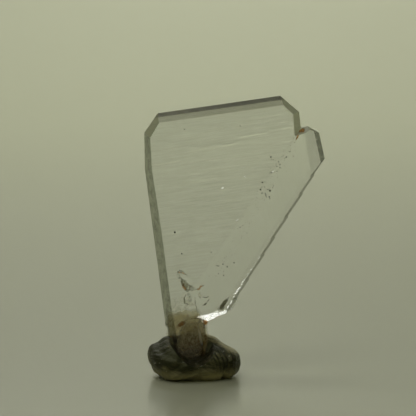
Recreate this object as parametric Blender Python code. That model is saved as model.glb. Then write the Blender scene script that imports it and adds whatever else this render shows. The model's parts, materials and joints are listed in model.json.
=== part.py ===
"""Japan-law twin of quartz standing in a pinched lump of mineral tack.

Two flat quartz individuals share the plane of the plate and cross at the angle of the Japan law.
The plate stands in the XZ plane, +X to the right and +Z up, and its lateral ridges lie at Y = 0.
The shapes are worked out in millimetres and brought to metres at the end; the origin is under the
middle of the specimen, on the table.
"""

import math

import bmesh
import bpy
from mathutils import Matrix, Vector

MM = 1.0
TO_METRES = 0.001

# Crystal angles, in degrees.
JAPAN_ANGLE = 84.55  # between the two c axes
FIRST_LEAN = -7.4  # c axis of the first individual, clockwise from +Z
PRISM_TILT = 60.0  # lateral prism face, from the front face
SIDE_CAP_TILT = 66.87  # lateral rhombohedron face, from the front face
FRONT_CAP_TILT = 38.2  # rhombohedron face over the front face, from it
STEEP_CAP_TILT = 8.0  # steep rhombohedron under the top edge, from the front face
SIDE_CAP_TURN = 42.28  # silhouette of the lateral rhombohedron faces, from the c axis

# The plate: depth of its two faces from the lateral ridges.
FRONT_DEPTH = 1.62 * MM
BACK_DEPTH = 0.68 * MM
STRIP_RELIEF = 0.03 * MM  # the second individual's faces lie this much lower
STRIP_NUDGE = 0.008 * MM  # and each of its growth blocks a little lower still
STRIP_STAGGER = 5  # nudges between the hidden inner ends of one growth block and the next
STRIP_INSET = 12  # nudges that the blocks' left ends lie inside the first individual
TOP_FRONT_DEPTH = 0.95 * MM  # front slope of the top edge, in depth
TWIN_OVERLAP = 0.4 * MM  # how far the second individual reaches into the first

# The re-entrant notch, where the twin plane comes out at the top.
NOTCH = Vector((9.16 * MM, 0.0, 33.7 * MM))

# First individual, measured from the notch across (a) and along (c) its own axes.
TOP_EDGE = 4.68 * MM
RIGHT_EDGE = -0.15 * MM
LEFT_EDGE = -21.92 * MM
LEFT_KINK = (-21.88 * MM, -2.2 * MM)
LEFT_KINK_TURN = 6.6
LEFT_CORNER = (-19.22 * MM, 4.68 * MM)
RIGHT_CORNER = (-2.43 * MM, 4.68 * MM)

# Second individual, measured from the notch across (a) and along (c) its own axes.
TIP_EDGE = 2.13 * MM
UPPER_EDGE = 0.0 * MM
UPPER_CORNER = (1.24 * MM, 2.13 * MM)
LOWER_CORNER = (4.87 * MM, 2.13 * MM)
LONG_EDGE_STEP = 0.14 * MM  # each growth step puts the long edge this much further out
LONG_EDGE_STEP_AT = (2.6, 5.4, 9.0, 12.2, 14.8, 18.6, 21.5)  # mm down from its top corner

# Growth ledges across the first individual's faces: height below the top edge, breadth, start and
# end across it, and relief. Front ledges first, back ledges second.
FRONT_LEDGES = (
    (7.4, 0.6, -19.4, -8.5, 0.05),
    (9.6, 0.4, -15.5, -6.5, 0.04),
    (12.2, 0.9, -12.5, -5.6, 0.06),
    (15.0, 0.4, -19.3, -10.5, 0.04),
    (18.6, 0.7, -19.2, -13.8, 0.06),
    (22.7, 0.5, -19.4, -15.2, 0.05),
)
BACK_LEDGES = (
    (5.6, 0.5, -16.0, -6.0, 0.05),
    (8.2, 0.7, -19.4, -9.5, 0.05),
    (11.0, 0.4, -17.0, -8.5, 0.04),
    (14.0, 0.8, -19.3, -13.0, 0.06),
    (17.4, 0.5, -18.0, -11.5, 0.05),
    (21.4, 0.7, -19.4, -14.5, 0.05),
)
LEDGE_SLOPE = 25.0  # of a ledge's sides, from the face
LEDGE_FOOT = 0.2 * MM  # how deep a ledge is let into the face

# Broken lower end, in the plane of the plate.
STRIP_BOTTOM = 6.9 * MM  # the second individual ends here, inside the stem
STEM_TOP = 9.4 * MM
STEM_RIGHT = -3.3 * MM
STEM_RELIEF = 0.06 * MM
ROOT_BOTTOM = 2.1 * MM
BREAK_INNER = Vector((-4.35 * MM, 0.0, 7.3 * MM))
BREAK_OUTER = Vector((-0.95 * MM, 0.0, 8.65 * MM))
BREAK_DIP = 24.0  # the break surface leans back by this much
STEM_RIGHT_TILT = 8.0
SCOOP_RADIUS = 3.4 * MM
SCOOP_CENTRE = Vector((-1.9 * MM, -3.9 * MM, 6.8 * MM))
ROOT_CHIP_TOP = 5.2 * MM
# Chips off the root: a point on each, in mm, and the direction it faces.
ROOT_CHIPS = (
    ((-8.7, -1.0, 4.2), (-0.75, -0.55, -0.45)),
    ((-4.4, -1.2, 4.0), (0.65, -0.65, -0.45)),
    ((-4.6, 0.5, 3.4), (0.7, 0.6, -0.5)),
    ((-8.4, 0.5, 3.2), (-0.6, 0.65, -0.55)),
)

# The lump of tack.
LUMP_CENTRE = Vector((-5.62 * MM, -0.23 * MM, 2.75 * MM))
LUMP_HALF = (6.35 * MM, 5.2 * MM, 3.15 * MM)
LUMP_LOBES = ((0.035, 3, 0.8), (0.025, 5, -1.57))  # share of the half width, count round, phase
LUMP_SEGMENTS = 72
LUMP_RINGS = 34
LUMP_RIGHT_SAG = 1.05 * MM  # the right lobe rests further out on the table
LUMP_FRONT_DIP = 0.9 * MM  # the whole front slopes down
# The thumb press in front of the root: its middle, half breadth, depth and where it begins.
PRESS_MIDDLE = -0.3 * MM
PRESS_BREADTH = 2.3 * MM
PRESS_DEPTH = 2.0 * MM
PRESS_START = 0.3 * MM
PRESS_RAMP = 1.3 * MM
# Folds: direction across the fold, offset of the fold from the lump's centre, depth and width, mm.
FOLDS = (
    ((0.95, -0.22, 0.18), 3.45, 0.40, 0.55),
    ((0.20, -0.15, 0.97), 0.95, 0.20, 0.60),
    ((0.35, 0.10, -0.93), 1.70, 0.25, 0.55),
    ((-0.72, -0.30, 0.62), 3.30, 0.24, 0.60),
    ((-0.10, 0.95, 0.30), 3.00, 0.30, 0.65),
)
FOLD_LIP = 0.6  # swelling beside a fold, as a share of its depth
FOLD_LIP_SHIFT = 1.6  # how far beside it, in fold widths
# The pocket that the root sits in: the part of the crystal that it's shaped from, and its swelling.
POCKET_TOP = 10.5 * MM
POCKET_RIGHT = -3.6 * MM
POCKET_MIDDLE = Vector((-6.6 * MM, -0.5 * MM, 5.7 * MM))
POCKET_HALF = Vector((2.9 * MM, 1.1 * MM, 3.7 * MM))
POCKET_GAP = 0.39 * MM
BLOCK = 120 * MM  # side of the stock that each individual is cut from
WELD = 0.002 * MM  # corners nearer than this are one corner


def axis_frame(lean_deg):
    """Unit vectors along a c axis leaning clockwise from +Z, and across it to the right."""
    lean = math.radians(lean_deg)
    along = Vector((math.sin(lean), 0.0, math.cos(lean)))
    across = Vector((math.cos(lean), 0.0, -math.sin(lean)))
    return along, across


C1, A1 = axis_frame(FIRST_LEAN)
C2, A2 = axis_frame(FIRST_LEAN + JAPAN_ANGLE)
TWIN_ALONG, TWIN_OUT = axis_frame(FIRST_LEAN + JAPAN_ANGLE / 2)
FRONT = Vector((0.0, -1.0, 0.0))
DOWN = Vector((0.0, 0.0, -1.0))


def clear_scene():
    for obj in list(bpy.data.objects):
        bpy.data.objects.remove(obj)


def tilted(outward, tilt_deg, facing):
    """Normal of a face tilted from the front (or back) face towards an outward direction."""
    tilt = math.radians(tilt_deg)
    return (outward * math.sin(tilt) + facing * math.cos(tilt)).normalized()


def ridge_planes(point, outward, tilt_deg):
    """The front and back faces that meet in a ridge through a point of the plate's plane."""
    return [(point, tilted(outward, tilt_deg, side)) for side in (FRONT, -FRONT)]


def side_cap_outward(along, across, side):
    """Outward direction of the slanting silhouette of a crystal's lateral rhombohedron faces."""
    turn = math.radians(SIDE_CAP_TURN)
    return (along * math.sin(turn) + across * side * math.cos(turn)).normalized()


def cut_block(planes, name):
    """A mesh object of the stock, cut by each plane, given as a point and an outward normal."""
    mesh = bmesh.new()
    bmesh.ops.create_cube(mesh, size=BLOCK)
    for point, normal in planes:
        cut = bmesh.ops.bisect_plane(
            mesh,
            geom=mesh.verts[:] + mesh.edges[:] + mesh.faces[:],
            dist=1e-6,
            plane_co=point,
            plane_no=normal,
            clear_outer=True,
        )
        rim = [e for e in cut["geom_cut"] if isinstance(e, bmesh.types.BMEdge)]
        bmesh.ops.contextual_create(mesh, geom=rim)
        weld(mesh)
    return mesh_object(mesh, name)


def weld(mesh):
    """Joins corners that several planes share, and turns every face outwards."""
    bmesh.ops.remove_doubles(mesh, verts=mesh.verts[:], dist=WELD)
    bmesh.ops.dissolve_degenerate(mesh, edges=mesh.edges[:], dist=WELD)
    bmesh.ops.recalc_face_normals(mesh, faces=mesh.faces[:])


def mesh_object(mesh, name):
    data = bpy.data.meshes.new(name)
    mesh.to_mesh(data)
    mesh.free()
    obj = bpy.data.objects.new(name, data)
    bpy.context.scene.collection.objects.link(obj)
    return obj


def boolean(target, cutter, operation):
    """Applies one exact Boolean to the target, and removes the other object."""
    modifier = target.modifiers.new("shape", "BOOLEAN")
    modifier.operation = operation
    modifier.solver = "EXACT"
    modifier.object = cutter
    graph = bpy.context.evaluated_depsgraph_get()
    made = bpy.data.meshes.new_from_object(target.evaluated_get(graph))
    target.modifiers.remove(modifier)
    mesh = bmesh.new()
    mesh.from_mesh(made)
    weld(mesh)
    mesh.to_mesh(made)
    mesh.free()
    target.data = made
    bpy.data.objects.remove(cutter)


def at(along, across, place):
    """A point given as (across, along) from the notch, in an individual's own axes."""
    return NOTCH + across * place[0] + along * place[1]


def plate_faces(relief):
    return [
        (FRONT * (FRONT_DEPTH - relief), FRONT),
        (-FRONT * (BACK_DEPTH - relief), -FRONT),
    ]


def first_individual():
    """The broad individual, from its top edge down to the broken root."""
    top = at(C1, A1, (0.0, TOP_EDGE))
    slope_foot = TOP_FRONT_DEPTH / math.tan(math.radians(FRONT_CAP_TILT))
    steep_start = top - C1 * slope_foot + FRONT * TOP_FRONT_DEPTH
    kink_turn = math.radians(LEFT_KINK_TURN)
    kink_out = -A1 * math.cos(kink_turn) + C1 * math.sin(kink_turn)
    planes = plate_faces(0.0)
    planes += ridge_planes(top, C1, FRONT_CAP_TILT)
    planes += [(steep_start, tilted(C1, STEEP_CAP_TILT, FRONT))]
    planes += ridge_planes(at(C1, A1, (RIGHT_EDGE, 0.0)), A1, PRISM_TILT)
    planes += ridge_planes(at(C1, A1, (LEFT_EDGE, 0.0)), -A1, PRISM_TILT)
    planes += ridge_planes(at(C1, A1, LEFT_KINK), kink_out, PRISM_TILT)
    for corner, side in ((LEFT_CORNER, -1), (RIGHT_CORNER, 1)):
        out = side_cap_outward(C1, A1, side)
        planes += ridge_planes(at(C1, A1, corner), out, SIDE_CAP_TILT)
    planes += [(NOTCH, TWIN_OUT)]
    planes += [(DOWN * -ROOT_BOTTOM, DOWN)]
    return cut_block(planes, "twin_crystal")


def strip_block(step):
    """One growth block of the second individual; each later one lies lower and further out."""
    long_out = side_cap_outward(C2, A2, 1)
    corner = at(C2, A2, LOWER_CORNER)
    shift = LONG_EDGE_STEP * step
    planes = plate_faces(STRIP_RELIEF + STRIP_NUDGE * step)
    planes += ridge_planes(at(C2, A2, (0.0, TIP_EDGE)), C2, FRONT_CAP_TILT)
    planes += ridge_planes(at(C2, A2, (UPPER_EDGE, 0.0)), -A2, PRISM_TILT)
    upper_out = side_cap_outward(C2, A2, -1)
    planes += ridge_planes(at(C2, A2, UPPER_CORNER), upper_out, SIDE_CAP_TILT)
    planes += ridge_planes(corner + long_out * shift, long_out, SIDE_CAP_TILT)
    stagger = STRIP_NUDGE * STRIP_STAGGER * step
    planes += [(NOTCH - TWIN_OUT * (TWIN_OVERLAP + stagger), -TWIN_OUT)]
    left = LEFT_EDGE + STRIP_NUDGE * STRIP_INSET + stagger
    planes += ridge_planes(at(C1, A1, (left, 0.0)), -A1, PRISM_TILT)
    planes += [(DOWN * -(STRIP_BOTTOM + stagger), DOWN)]
    if step:
        start = corner - TWIN_ALONG * LONG_EDGE_STEP_AT[step - 1] * MM
        planes += ridge_planes(start, C2, PRISM_TILT)
    return cut_block(planes, f"strip_{step}")


def stem_block():
    """The stem that goes down into the tack, under both individuals."""
    stem = math.radians(STEM_RIGHT_TILT)
    planes = plate_faces(STEM_RELIEF)
    planes += ridge_planes(at(C1, A1, (LEFT_EDGE + 3 * STEM_RELIEF, 0.0)), -A1, PRISM_TILT)
    right = Vector((STEM_RIGHT, 0.0, STEM_TOP))
    planes += [(right, Vector((math.cos(stem), 0.0, -math.sin(stem))))]
    planes += [(DOWN * -STEM_TOP, -DOWN), (DOWN * -(ROOT_BOTTOM - STEM_RELIEF), DOWN)]
    return cut_block(planes, "stem")


def ledge(place, facing, depth):
    """A low growth ledge across the first individual, standing a little proud of a face."""
    below, breadth, left, right, relief = (value * MM for value in place)
    middle = at(C1, A1, ((left + right) / 2, TOP_EDGE - below))
    slope = math.radians(LEDGE_SLOPE)
    planes = [(facing * (depth + relief), facing), (facing * (depth - LEDGE_FOOT), -facing)]
    for outward, half in ((C1, breadth / 2), (A1, (right - left) / 2)):
        for side in (outward, -outward):
            normal = side * math.sin(slope) + facing * math.cos(slope)
            planes.append((middle + side * half + facing * depth, normal.normalized()))
    return cut_block(planes, "ledge")


def break_block():
    """What broke away below the plate, to the right of the stem."""
    line = (BREAK_OUTER - BREAK_INNER).normalized()
    up = Vector((-line.z, 0.0, line.x))
    dip = math.radians(BREAK_DIP)
    stem = math.radians(STEM_RIGHT_TILT)
    planes = [
        (BREAK_INNER, (up * math.cos(dip) - FRONT * math.sin(dip)).normalized()),
        (BREAK_INNER, Vector((-math.cos(stem), 0.0, math.sin(stem)))),
    ]
    return cut_block(planes, "break")


def scoop():
    mesh = bmesh.new()
    bmesh.ops.create_icosphere(mesh, subdivisions=4, radius=SCOOP_RADIUS)
    bmesh.ops.translate(mesh, verts=mesh.verts[:], vec=SCOOP_CENTRE)
    return mesh_object(mesh, "scoop")


def root_chip(point, outward):
    """Stock beyond a plane through the point, to be cut away from the root."""
    start = Vector(point) * MM
    across = Vector(outward).normalized()
    return cut_block([(start, -across), (DOWN * -ROOT_CHIP_TOP, -DOWN)], "chip")


def twin_crystal():
    crystal = first_individual()
    for step in range(len(LONG_EDGE_STEP_AT) + 1):
        boolean(crystal, strip_block(step), "UNION")
    boolean(crystal, stem_block(), "UNION")
    for place in FRONT_LEDGES:
        boolean(crystal, ledge(place, FRONT, FRONT_DEPTH), "UNION")
    for place in BACK_LEDGES:
        boolean(crystal, ledge(place, -FRONT, BACK_DEPTH), "UNION")
    boolean(crystal, break_block(), "DIFFERENCE")
    boolean(crystal, scoop(), "DIFFERENCE")
    for point, outward in ROOT_CHIPS:
        boolean(crystal, root_chip(point, outward), "DIFFERENCE")
    return crystal


def fold_offset(place):
    """How far the surface sinks or swells at a place of the lump, in mm from its centre."""
    total = 0.0
    for direction, offset, depth, width in FOLDS:
        distance = place.dot(Vector(direction).normalized()) - offset
        total -= depth * math.exp(-((distance / width) ** 2))
        total += FOLD_LIP * depth * math.exp(-((distance / width + FOLD_LIP_SHIFT) ** 2))
    return total


def thumb_press(place):
    """Depth of the hollow that a thumb pressed in front of the root."""
    reach = min(max((-place.y - PRESS_START) / PRESS_RAMP, 0.0), 1.0)
    breadth = (place.x - PRESS_MIDDLE) / PRESS_BREADTH
    return PRESS_DEPTH * reach * math.exp(-(breadth**2))


def lump_point(turn, rise):
    """A point of the lump's skin at a turn about Z and a rise from its equator, in radians."""
    shape = Vector((math.cos(turn) * math.cos(rise), math.sin(turn) * math.cos(rise), math.sin(rise)))
    lobes = 1 + sum(share * math.cos(count * turn + phase) for share, count, phase in LUMP_LOBES)
    place = Vector((shape.x * lobes, shape.y * lobes, shape.z)) * Vector(LUMP_HALF)
    place += shape * fold_offset(place)
    place.z -= LUMP_FRONT_DIP * max(0.0, -shape.y) * max(0.0, shape.z)
    place.z -= thumb_press(place) * max(0.0, shape.z) ** 0.5
    place.z -= LUMP_RIGHT_SAG * max(0.0, shape.x) * (1.0 if shape.z < 0 else 0.5)
    place += LUMP_CENTRE
    place.z = max(place.z, 0.0)
    return place


def lump_skin():
    mesh = bmesh.new()
    rings = []
    for j in range(1, LUMP_RINGS):
        rise = math.pi * (j / LUMP_RINGS - 0.5)
        turns = [2 * math.pi * i / LUMP_SEGMENTS for i in range(LUMP_SEGMENTS)]
        rings.append([mesh.verts.new(lump_point(turn, rise)) for turn in turns])
    bottom = mesh.verts.new(lump_point(0.0, -math.pi / 2))
    top = mesh.verts.new(lump_point(0.0, math.pi / 2))
    for i in range(LUMP_SEGMENTS):
        following = (i + 1) % LUMP_SEGMENTS
        mesh.faces.new((bottom, rings[0][following], rings[0][i]))
        mesh.faces.new((top, rings[-1][i], rings[-1][following]))
        for low, high in zip(rings, rings[1:]):
            mesh.faces.new((low[i], low[following], high[following], high[i]))
    bmesh.ops.recalc_face_normals(mesh, faces=mesh.faces[:])
    return mesh_object(mesh, "putty_lump")


def pocket_cutter(crystal):
    """The root's own outline, swollen by the gap and open upwards."""
    mesh = bmesh.new()
    for corner in crystal.data.vertices:
        if corner.co.z < POCKET_TOP and corner.co.x < POCKET_RIGHT:
            mesh.verts.new(corner.co)
    bmesh.ops.convex_hull(mesh, input=mesh.verts[:])
    loose = [v for v in mesh.verts if not v.link_faces]
    bmesh.ops.delete(mesh, geom=loose, context="VERTS")
    swelling = Matrix.Diagonal([1 + POCKET_GAP / half for half in POCKET_HALF])
    for corner in mesh.verts:
        corner.co = POCKET_MIDDLE + swelling @ (corner.co - POCKET_MIDDLE)
    bmesh.ops.recalc_face_normals(mesh, faces=mesh.faces[:])
    return mesh_object(mesh, "pocket")


def putty_lump(crystal):
    lump = lump_skin()
    boolean(lump, pocket_cutter(crystal), "DIFFERENCE")
    return lump


def finish(obj, name, colour, roughness):
    material = bpy.data.materials.new(name)
    material.use_nodes = True
    shader = material.node_tree.nodes["Principled BSDF"]
    shader.inputs["Base Color"].default_value = (*colour, 1.0)
    shader.inputs["Roughness"].default_value = roughness
    shader.inputs["Metallic"].default_value = 0.0
    obj.data.materials.clear()
    obj.data.materials.append(material)
    return shader


def main():
    clear_scene()
    crystal = twin_crystal()
    lump = putty_lump(crystal)
    for obj in (crystal, lump):
        obj.data.transform(Matrix.Scale(TO_METRES, 4))
    clear = finish(crystal, "rock crystal, natural faces", (0.92, 0.93, 0.88), 0.02)
    clear.inputs["Transmission Weight"].default_value = 1.0
    clear.inputs["IOR"].default_value = 1.544
    finish(lump, "mineral tack, pinched by hand", (0.03, 0.028, 0.016), 0.7)


main()
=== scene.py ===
"""Japan-law twin of quartz in a pinched lump of mineral tack: its looks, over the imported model.

Shapes are worked out in millimetres and brought to metres when a piece is finished. The plate of
the twin stands in the XZ plane, its front face towards -Y.
"""

import json
import math

import bpy
import numpy as np
from mathutils import Matrix, Vector, noise

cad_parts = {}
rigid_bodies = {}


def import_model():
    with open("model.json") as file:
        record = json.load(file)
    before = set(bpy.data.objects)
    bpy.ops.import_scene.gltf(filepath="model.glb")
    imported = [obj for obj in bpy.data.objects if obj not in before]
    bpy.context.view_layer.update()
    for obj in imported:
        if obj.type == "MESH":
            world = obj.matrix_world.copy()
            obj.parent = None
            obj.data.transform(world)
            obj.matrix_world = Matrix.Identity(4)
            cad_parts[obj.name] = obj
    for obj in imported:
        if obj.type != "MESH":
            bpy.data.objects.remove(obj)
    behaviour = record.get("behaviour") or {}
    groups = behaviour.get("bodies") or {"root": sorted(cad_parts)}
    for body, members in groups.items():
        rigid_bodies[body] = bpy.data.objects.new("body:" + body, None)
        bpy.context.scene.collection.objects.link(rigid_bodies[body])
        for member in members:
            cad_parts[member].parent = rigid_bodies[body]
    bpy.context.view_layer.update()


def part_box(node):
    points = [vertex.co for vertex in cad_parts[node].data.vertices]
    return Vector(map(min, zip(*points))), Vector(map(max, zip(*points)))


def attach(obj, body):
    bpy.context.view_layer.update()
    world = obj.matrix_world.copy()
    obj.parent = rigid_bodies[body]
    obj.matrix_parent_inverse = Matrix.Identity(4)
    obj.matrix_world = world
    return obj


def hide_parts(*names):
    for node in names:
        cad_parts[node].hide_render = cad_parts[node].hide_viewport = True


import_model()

bl_info = {
    "name": "Japan-law twin quartz",
    "version": (1, 0, 0),
    "blender": (4, 5, 0),
    "location": "3D View > Sidebar > Twin Quartz",
    "description": "Builds a Japan-law twin of quartz that stands in a lump of mineral tack",
    "category": "Add Mesh",
}

TO_METRES = 0.001

# Angles of the twin, in degrees.
JAPAN_ANGLE = 84.55  # between the two c axes
FIRST_LEAN = -7.4  # c axis of the first individual, clockwise from +Z
PRISM_TILT = 60.0  # lateral prism face, from the front face
SIDE_CAP_TILT = 66.87  # lateral rhombohedron face, from the front face
FRONT_CAP_TILT = 38.2  # rhombohedron face over the front face, from it
TIP_TILT = 30.0  # the same face at the tip, in front, where it is rounded off
# Vicinal faces under the top slope: tilt from the front face, and where each starts below it, in mm.
VICINAL_FACES = ((5.4, 0.0), (3.8, 2.0), (2.0, 4.0))
CHAMFER_TILTS = (52.0, 75.0)  # faces that cut the upper corners, in front and behind
RIGHT_TILTS = (47.0, 75.0)  # face above the notch, in front and behind
SIDE_CAP_TURN = 42.28  # silhouette of the lateral rhombohedron faces, from the c axis
WALL_SLOPE = 20.0  # height that a steep broken wall gains per millimetre inwards

# Outlines, in mm. The notch is where the twin plane comes out at the top; the places of the first
# and second individual are measured from it across and along their own axes.
NOTCH = Vector((9.16, 0.0, 33.7))
TOP_EDGE = 4.68
RIGHT_EDGE = -0.15
LEFT_EDGE = -21.92
LEFT_KINK = (-21.88, -2.2)
LEFT_KINK_TURN = 6.6
LEFT_CORNER = (-19.22, 4.68)
RIGHT_CORNER = (-2.43, 4.68)
TIP_EDGE = 2.13
UPPER_EDGE = 0.0
UPPER_CORNER = (1.24, 2.13)
LOWER_CORNER = (4.87, 2.13)
# The second individual is made of growth blocks, the strips. Each lies a nudge lower than the one
# before, and its hidden sides are a few nudges off that one's, so that no two planes fall together.
STRIP_RELIEF = 0.03
STRIP_NUDGE = 0.008
STRIP_STAGGER = 5
STRIP_INSET = 12
TWIN_OVERLAP = 0.4
LONG_EDGE_STEP = 0.14
LONG_EDGE_STEP_AT = (2.6, 5.4, 9.0, 12.2, 14.8, 18.6, 21.5)
STRIP_BOTTOM = 6.9
STEM_TOP = 9.4
STEM_RIGHT = -3.3
STEM_RELIEF = 0.06
STEM_INSET = 3  # how many times its relief the left side of the stem is set in
ROOT_BOTTOM = 2.1
BREAK_INNER = Vector((-5.08, 0.0, 7.45))  # where the underside break meets the middle plane
BREAK_OUTER = Vector((-1.46, 0.0, 8.22))
BREAK_DIP = 32.0
BREAK_EDGE_INNER = Vector((-3.75, 0.0, 7.35))  # its lower edge, across the whole plate
BREAK_EDGE_OUTER = Vector((-1.35, 0.0, 8.6))
SHOULDER_INNER = Vector((-5.1, 0.0, 8.2))
SHOULDER_OUTER = Vector((-4.15, 0.0, 7.55))
STEM_RIGHT_TILT = 8.0
SCOOP_RADIUS = 3.4  # the shell-shaped hollow that the break leaves in front
SCOOP_CENTRE = Vector((-1.9, -3.9, 6.8))

# Growth ledges: height below the top edge, breadth, start and end across, relief, all in mm.
FRONT_LEDGES = (
    (7.4, 0.6, -19.4, -8.5, 0.05),
    (9.6, 0.4, -15.5, -6.5, 0.04),
    (12.2, 0.9, -12.5, -5.6, 0.06),
    (15.0, 0.4, -19.3, -10.5, 0.04),
    (18.6, 0.7, -19.2, -13.8, 0.06),
    (22.7, 0.5, -19.4, -15.2, 0.05),
)
BACK_LEDGES = (
    (5.6, 0.5, -16.0, -6.0, 0.05),
    (8.2, 0.7, -19.4, -9.5, 0.05),
    (11.0, 0.4, -17.0, -8.5, 0.04),
    (14.0, 0.8, -19.3, -13.0, 0.06),
    (17.4, 0.5, -18.0, -11.5, 0.05),
    (21.4, 0.7, -19.4, -14.5, 0.05),
)
# Short ledges that flash on the front face, given the same way.
FLECKS = (
    (4.5, 0.3, -9.2, -4.6, 0.025),
    (4.94, 0.2, -15.7, -14.4, 0.04),
    (5.3, 0.2, -11.0, -9.5, 0.04),
    (7.1, 0.25, -12.4, -10.2, -0.02),
    (10.1, 0.2, -9.1, -8.4, 0.05),
    (11.2, 0.2, -12.6, -11.3, 0.05),
    (14.5, 0.2, -16.6, -15.2, 0.04),
    (15.8, 0.2, -11.0, -9.9, 0.05),
    (17.9, 0.2, -20.0, -18.3, 0.04),
    (22.8, 0.2, -19.6, -17.5, 0.04),
)


def axis_frame(lean_deg):
    """Unit vectors along a c axis leaning clockwise from +Z, and across it to the right."""
    lean = math.radians(lean_deg)
    along = Vector((math.sin(lean), 0.0, math.cos(lean)))
    across = Vector((math.cos(lean), 0.0, -math.sin(lean)))
    return along, across


C1, A1 = axis_frame(FIRST_LEAN)
C2, A2 = axis_frame(FIRST_LEAN + JAPAN_ANGLE)
TWIN_ALONG, TWIN_OUT = axis_frame(FIRST_LEAN + JAPAN_ANGLE / 2)
STEM_OUT = axis_frame(STEM_RIGHT_TILT)[1]
FRONT = Vector((0.0, -1.0, 0.0))
BACK = Vector((0.0, 1.0, 0.0))
UP = Vector((0.0, 0.0, 1.0))


def slope_of(tilt_deg):
    """Height gained per millimetre by a face that is tilted from the front face."""
    return math.tan(math.radians(tilt_deg))


def at(along, across, place):
    """A point given as (across, along) from the notch, in an individual's own axes."""
    return NOTCH + across * place[0] + along * place[1]


def linear(hex_colour):
    """A linear RGBA colour from an sRGB hex value."""
    parts = [int(hex_colour[i : i + 2], 16) / 255 for i in (1, 3, 5)]
    return [p / 12.92 if p <= 0.04045 else ((p + 0.055) / 1.055) ** 2.4 for p in parts] + [1.0]


def add_node(tree, kind, values=None, links=None, **settings):
    """Adds a node with its settings, the values of its inputs and the links into them."""
    node = tree.nodes.new(kind)
    for name, value in settings.items():
        setattr(node, name, value)
    for name, value in (values or {}).items():
        node.inputs[name].default_value = value
    for name, socket in (links or {}).items():
        tree.links.new(socket, node.inputs[name])
    return node


def deselect():
    """Leaves edit mode, and leaves nothing selected."""
    if bpy.context.mode != "OBJECT":
        bpy.ops.object.mode_set(mode="OBJECT")
    bpy.ops.object.select_all(action="DESELECT")


def pick(obj):
    """Selects just this object and makes it the active one."""
    deselect()
    obj.select_set(True)
    bpy.context.view_layer.objects.active = obj


def added(name):
    """The object that an operator has just added, under its own name."""
    obj = bpy.context.object
    obj.name = name
    obj.data.name = name
    return obj


def points_of(obj):
    """The object's vertices as rows of x, y and z."""
    points = np.empty(len(obj.data.vertices) * 3)
    obj.data.vertices.foreach_get("co", points)
    return points.reshape(-1, 3)


def move_points(obj, points):
    """Moves the object's vertices to these rows of x, y and z."""
    obj.data.vertices.foreach_set("co", points.ravel())
    obj.data.update()


def select_faces(obj, chosen):
    """Opens the object in edit mode with just these faces selected."""
    pick(obj)
    mesh = obj.data
    mesh.vertices.foreach_set("select", np.zeros(len(mesh.vertices), bool))
    mesh.edges.foreach_set("select", np.zeros(len(mesh.edges), bool))
    mesh.polygons.foreach_set("select", chosen)
    bpy.context.tool_settings.mesh_select_mode = (False, False, True)
    bpy.ops.object.mode_set(mode="EDIT")


def face_outwards():
    """Turns all faces of the object in edit mode outwards, and goes back to object mode."""
    bpy.ops.mesh.select_all(action="SELECT")
    bpy.ops.mesh.normals_make_consistent(inside=False)
    bpy.ops.object.mode_set(mode="OBJECT")


# ---------------------------------------------------------------- the plate as two height fields

# Kinds of face, which differ in finish: the broad faces of the first and second individual, the
# slope along the top edge, the slopes at the corners, the lateral prism bands, the slope at the
# tip, the stepped long edge, breaks.
STRIATED, CLEAR, TOP, CAP, PRISM, TIP, STEPPED, BROKEN = range(8)


def face(point, outward, slope, start=0.0):
    """A face as (k, gx, gz): its height is start on the line through the point, and grows inwards."""
    gx, gz = -outward.x * slope, -outward.z * slope
    return (start - gx * point.x - gz * point.z, gx, gz)


def square_up(line):
    """The unit vector square to a line in the plate's plane, on its upper side."""
    return Vector((-line.z, 0.0, line.x)).normalized()


def side_cap_outward(along, across, side):
    """The way out from a lateral rhombohedron face, on the right (1) or the left (-1)."""
    turn = math.radians(SIDE_CAP_TURN)
    return (along * math.sin(turn) + across * side * math.cos(turn)).normalized()


def face_depth(sizes, is_front):
    """Depth of the front or back face from the lateral ridges, in mm."""
    return (sizes.front_depth if is_front else sizes.back_depth) / TO_METRES


def vicinal_faces(sizes):
    """The low slopes under the top edge in front, as (k, gx, gz)."""
    level, tilt_above, reach = sizes.top_front_depth / TO_METRES, 0.0, 0.0
    start = at(C1, A1, (0.0, TOP_EDGE)) - C1 * (level / slope_of(FRONT_CAP_TILT))
    slopes = []
    for tilt, below in VICINAL_FACES:
        level += (below - reach) * slope_of(tilt_above)
        slopes.append(face(start - C1 * below, C1, slope_of(tilt), level))
        tilt_above, reach = tilt, below
    return slopes


def first_faces(sizes, is_front):
    """Faces of the broad individual on one side of the plate's middle plane."""
    top = at(C1, A1, (0.0, TOP_EDGE))
    turn = math.radians(LEFT_KINK_TURN)
    kink_out = -A1 * math.cos(turn) + C1 * math.sin(turn)
    left, right = LEFT_CORNER, RIGHT_CORNER
    chamfer, beside = (tilts[0 if is_front else 1] for tilts in (CHAMFER_TILTS, RIGHT_TILTS))
    faces = [
        (STRIATED, (face_depth(sizes, is_front), 0.0, 0.0)),
        (TOP, face(top, C1, slope_of(FRONT_CAP_TILT))),
        (CAP, face(at(C1, A1, (RIGHT_EDGE, 0.0)), A1, slope_of(beside))),
        (PRISM, face(at(C1, A1, (LEFT_EDGE, 0.0)), -A1, slope_of(PRISM_TILT))),
        (PRISM, face(at(C1, A1, LEFT_KINK), kink_out, slope_of(PRISM_TILT))),
        (CAP, face(at(C1, A1, left), side_cap_outward(C1, A1, -1), slope_of(chamfer))),
        (CAP, face(at(C1, A1, right), side_cap_outward(C1, A1, 1), slope_of(chamfer))),
        (CLEAR, face(NOTCH, TWIN_OUT, WALL_SLOPE)),
        (BROKEN, face(UP * ROOT_BOTTOM, -UP, WALL_SLOPE)),
    ]
    if is_front:
        faces += [(STRIATED, slope) for slope in vicinal_faces(sizes)]
    return faces


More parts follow.
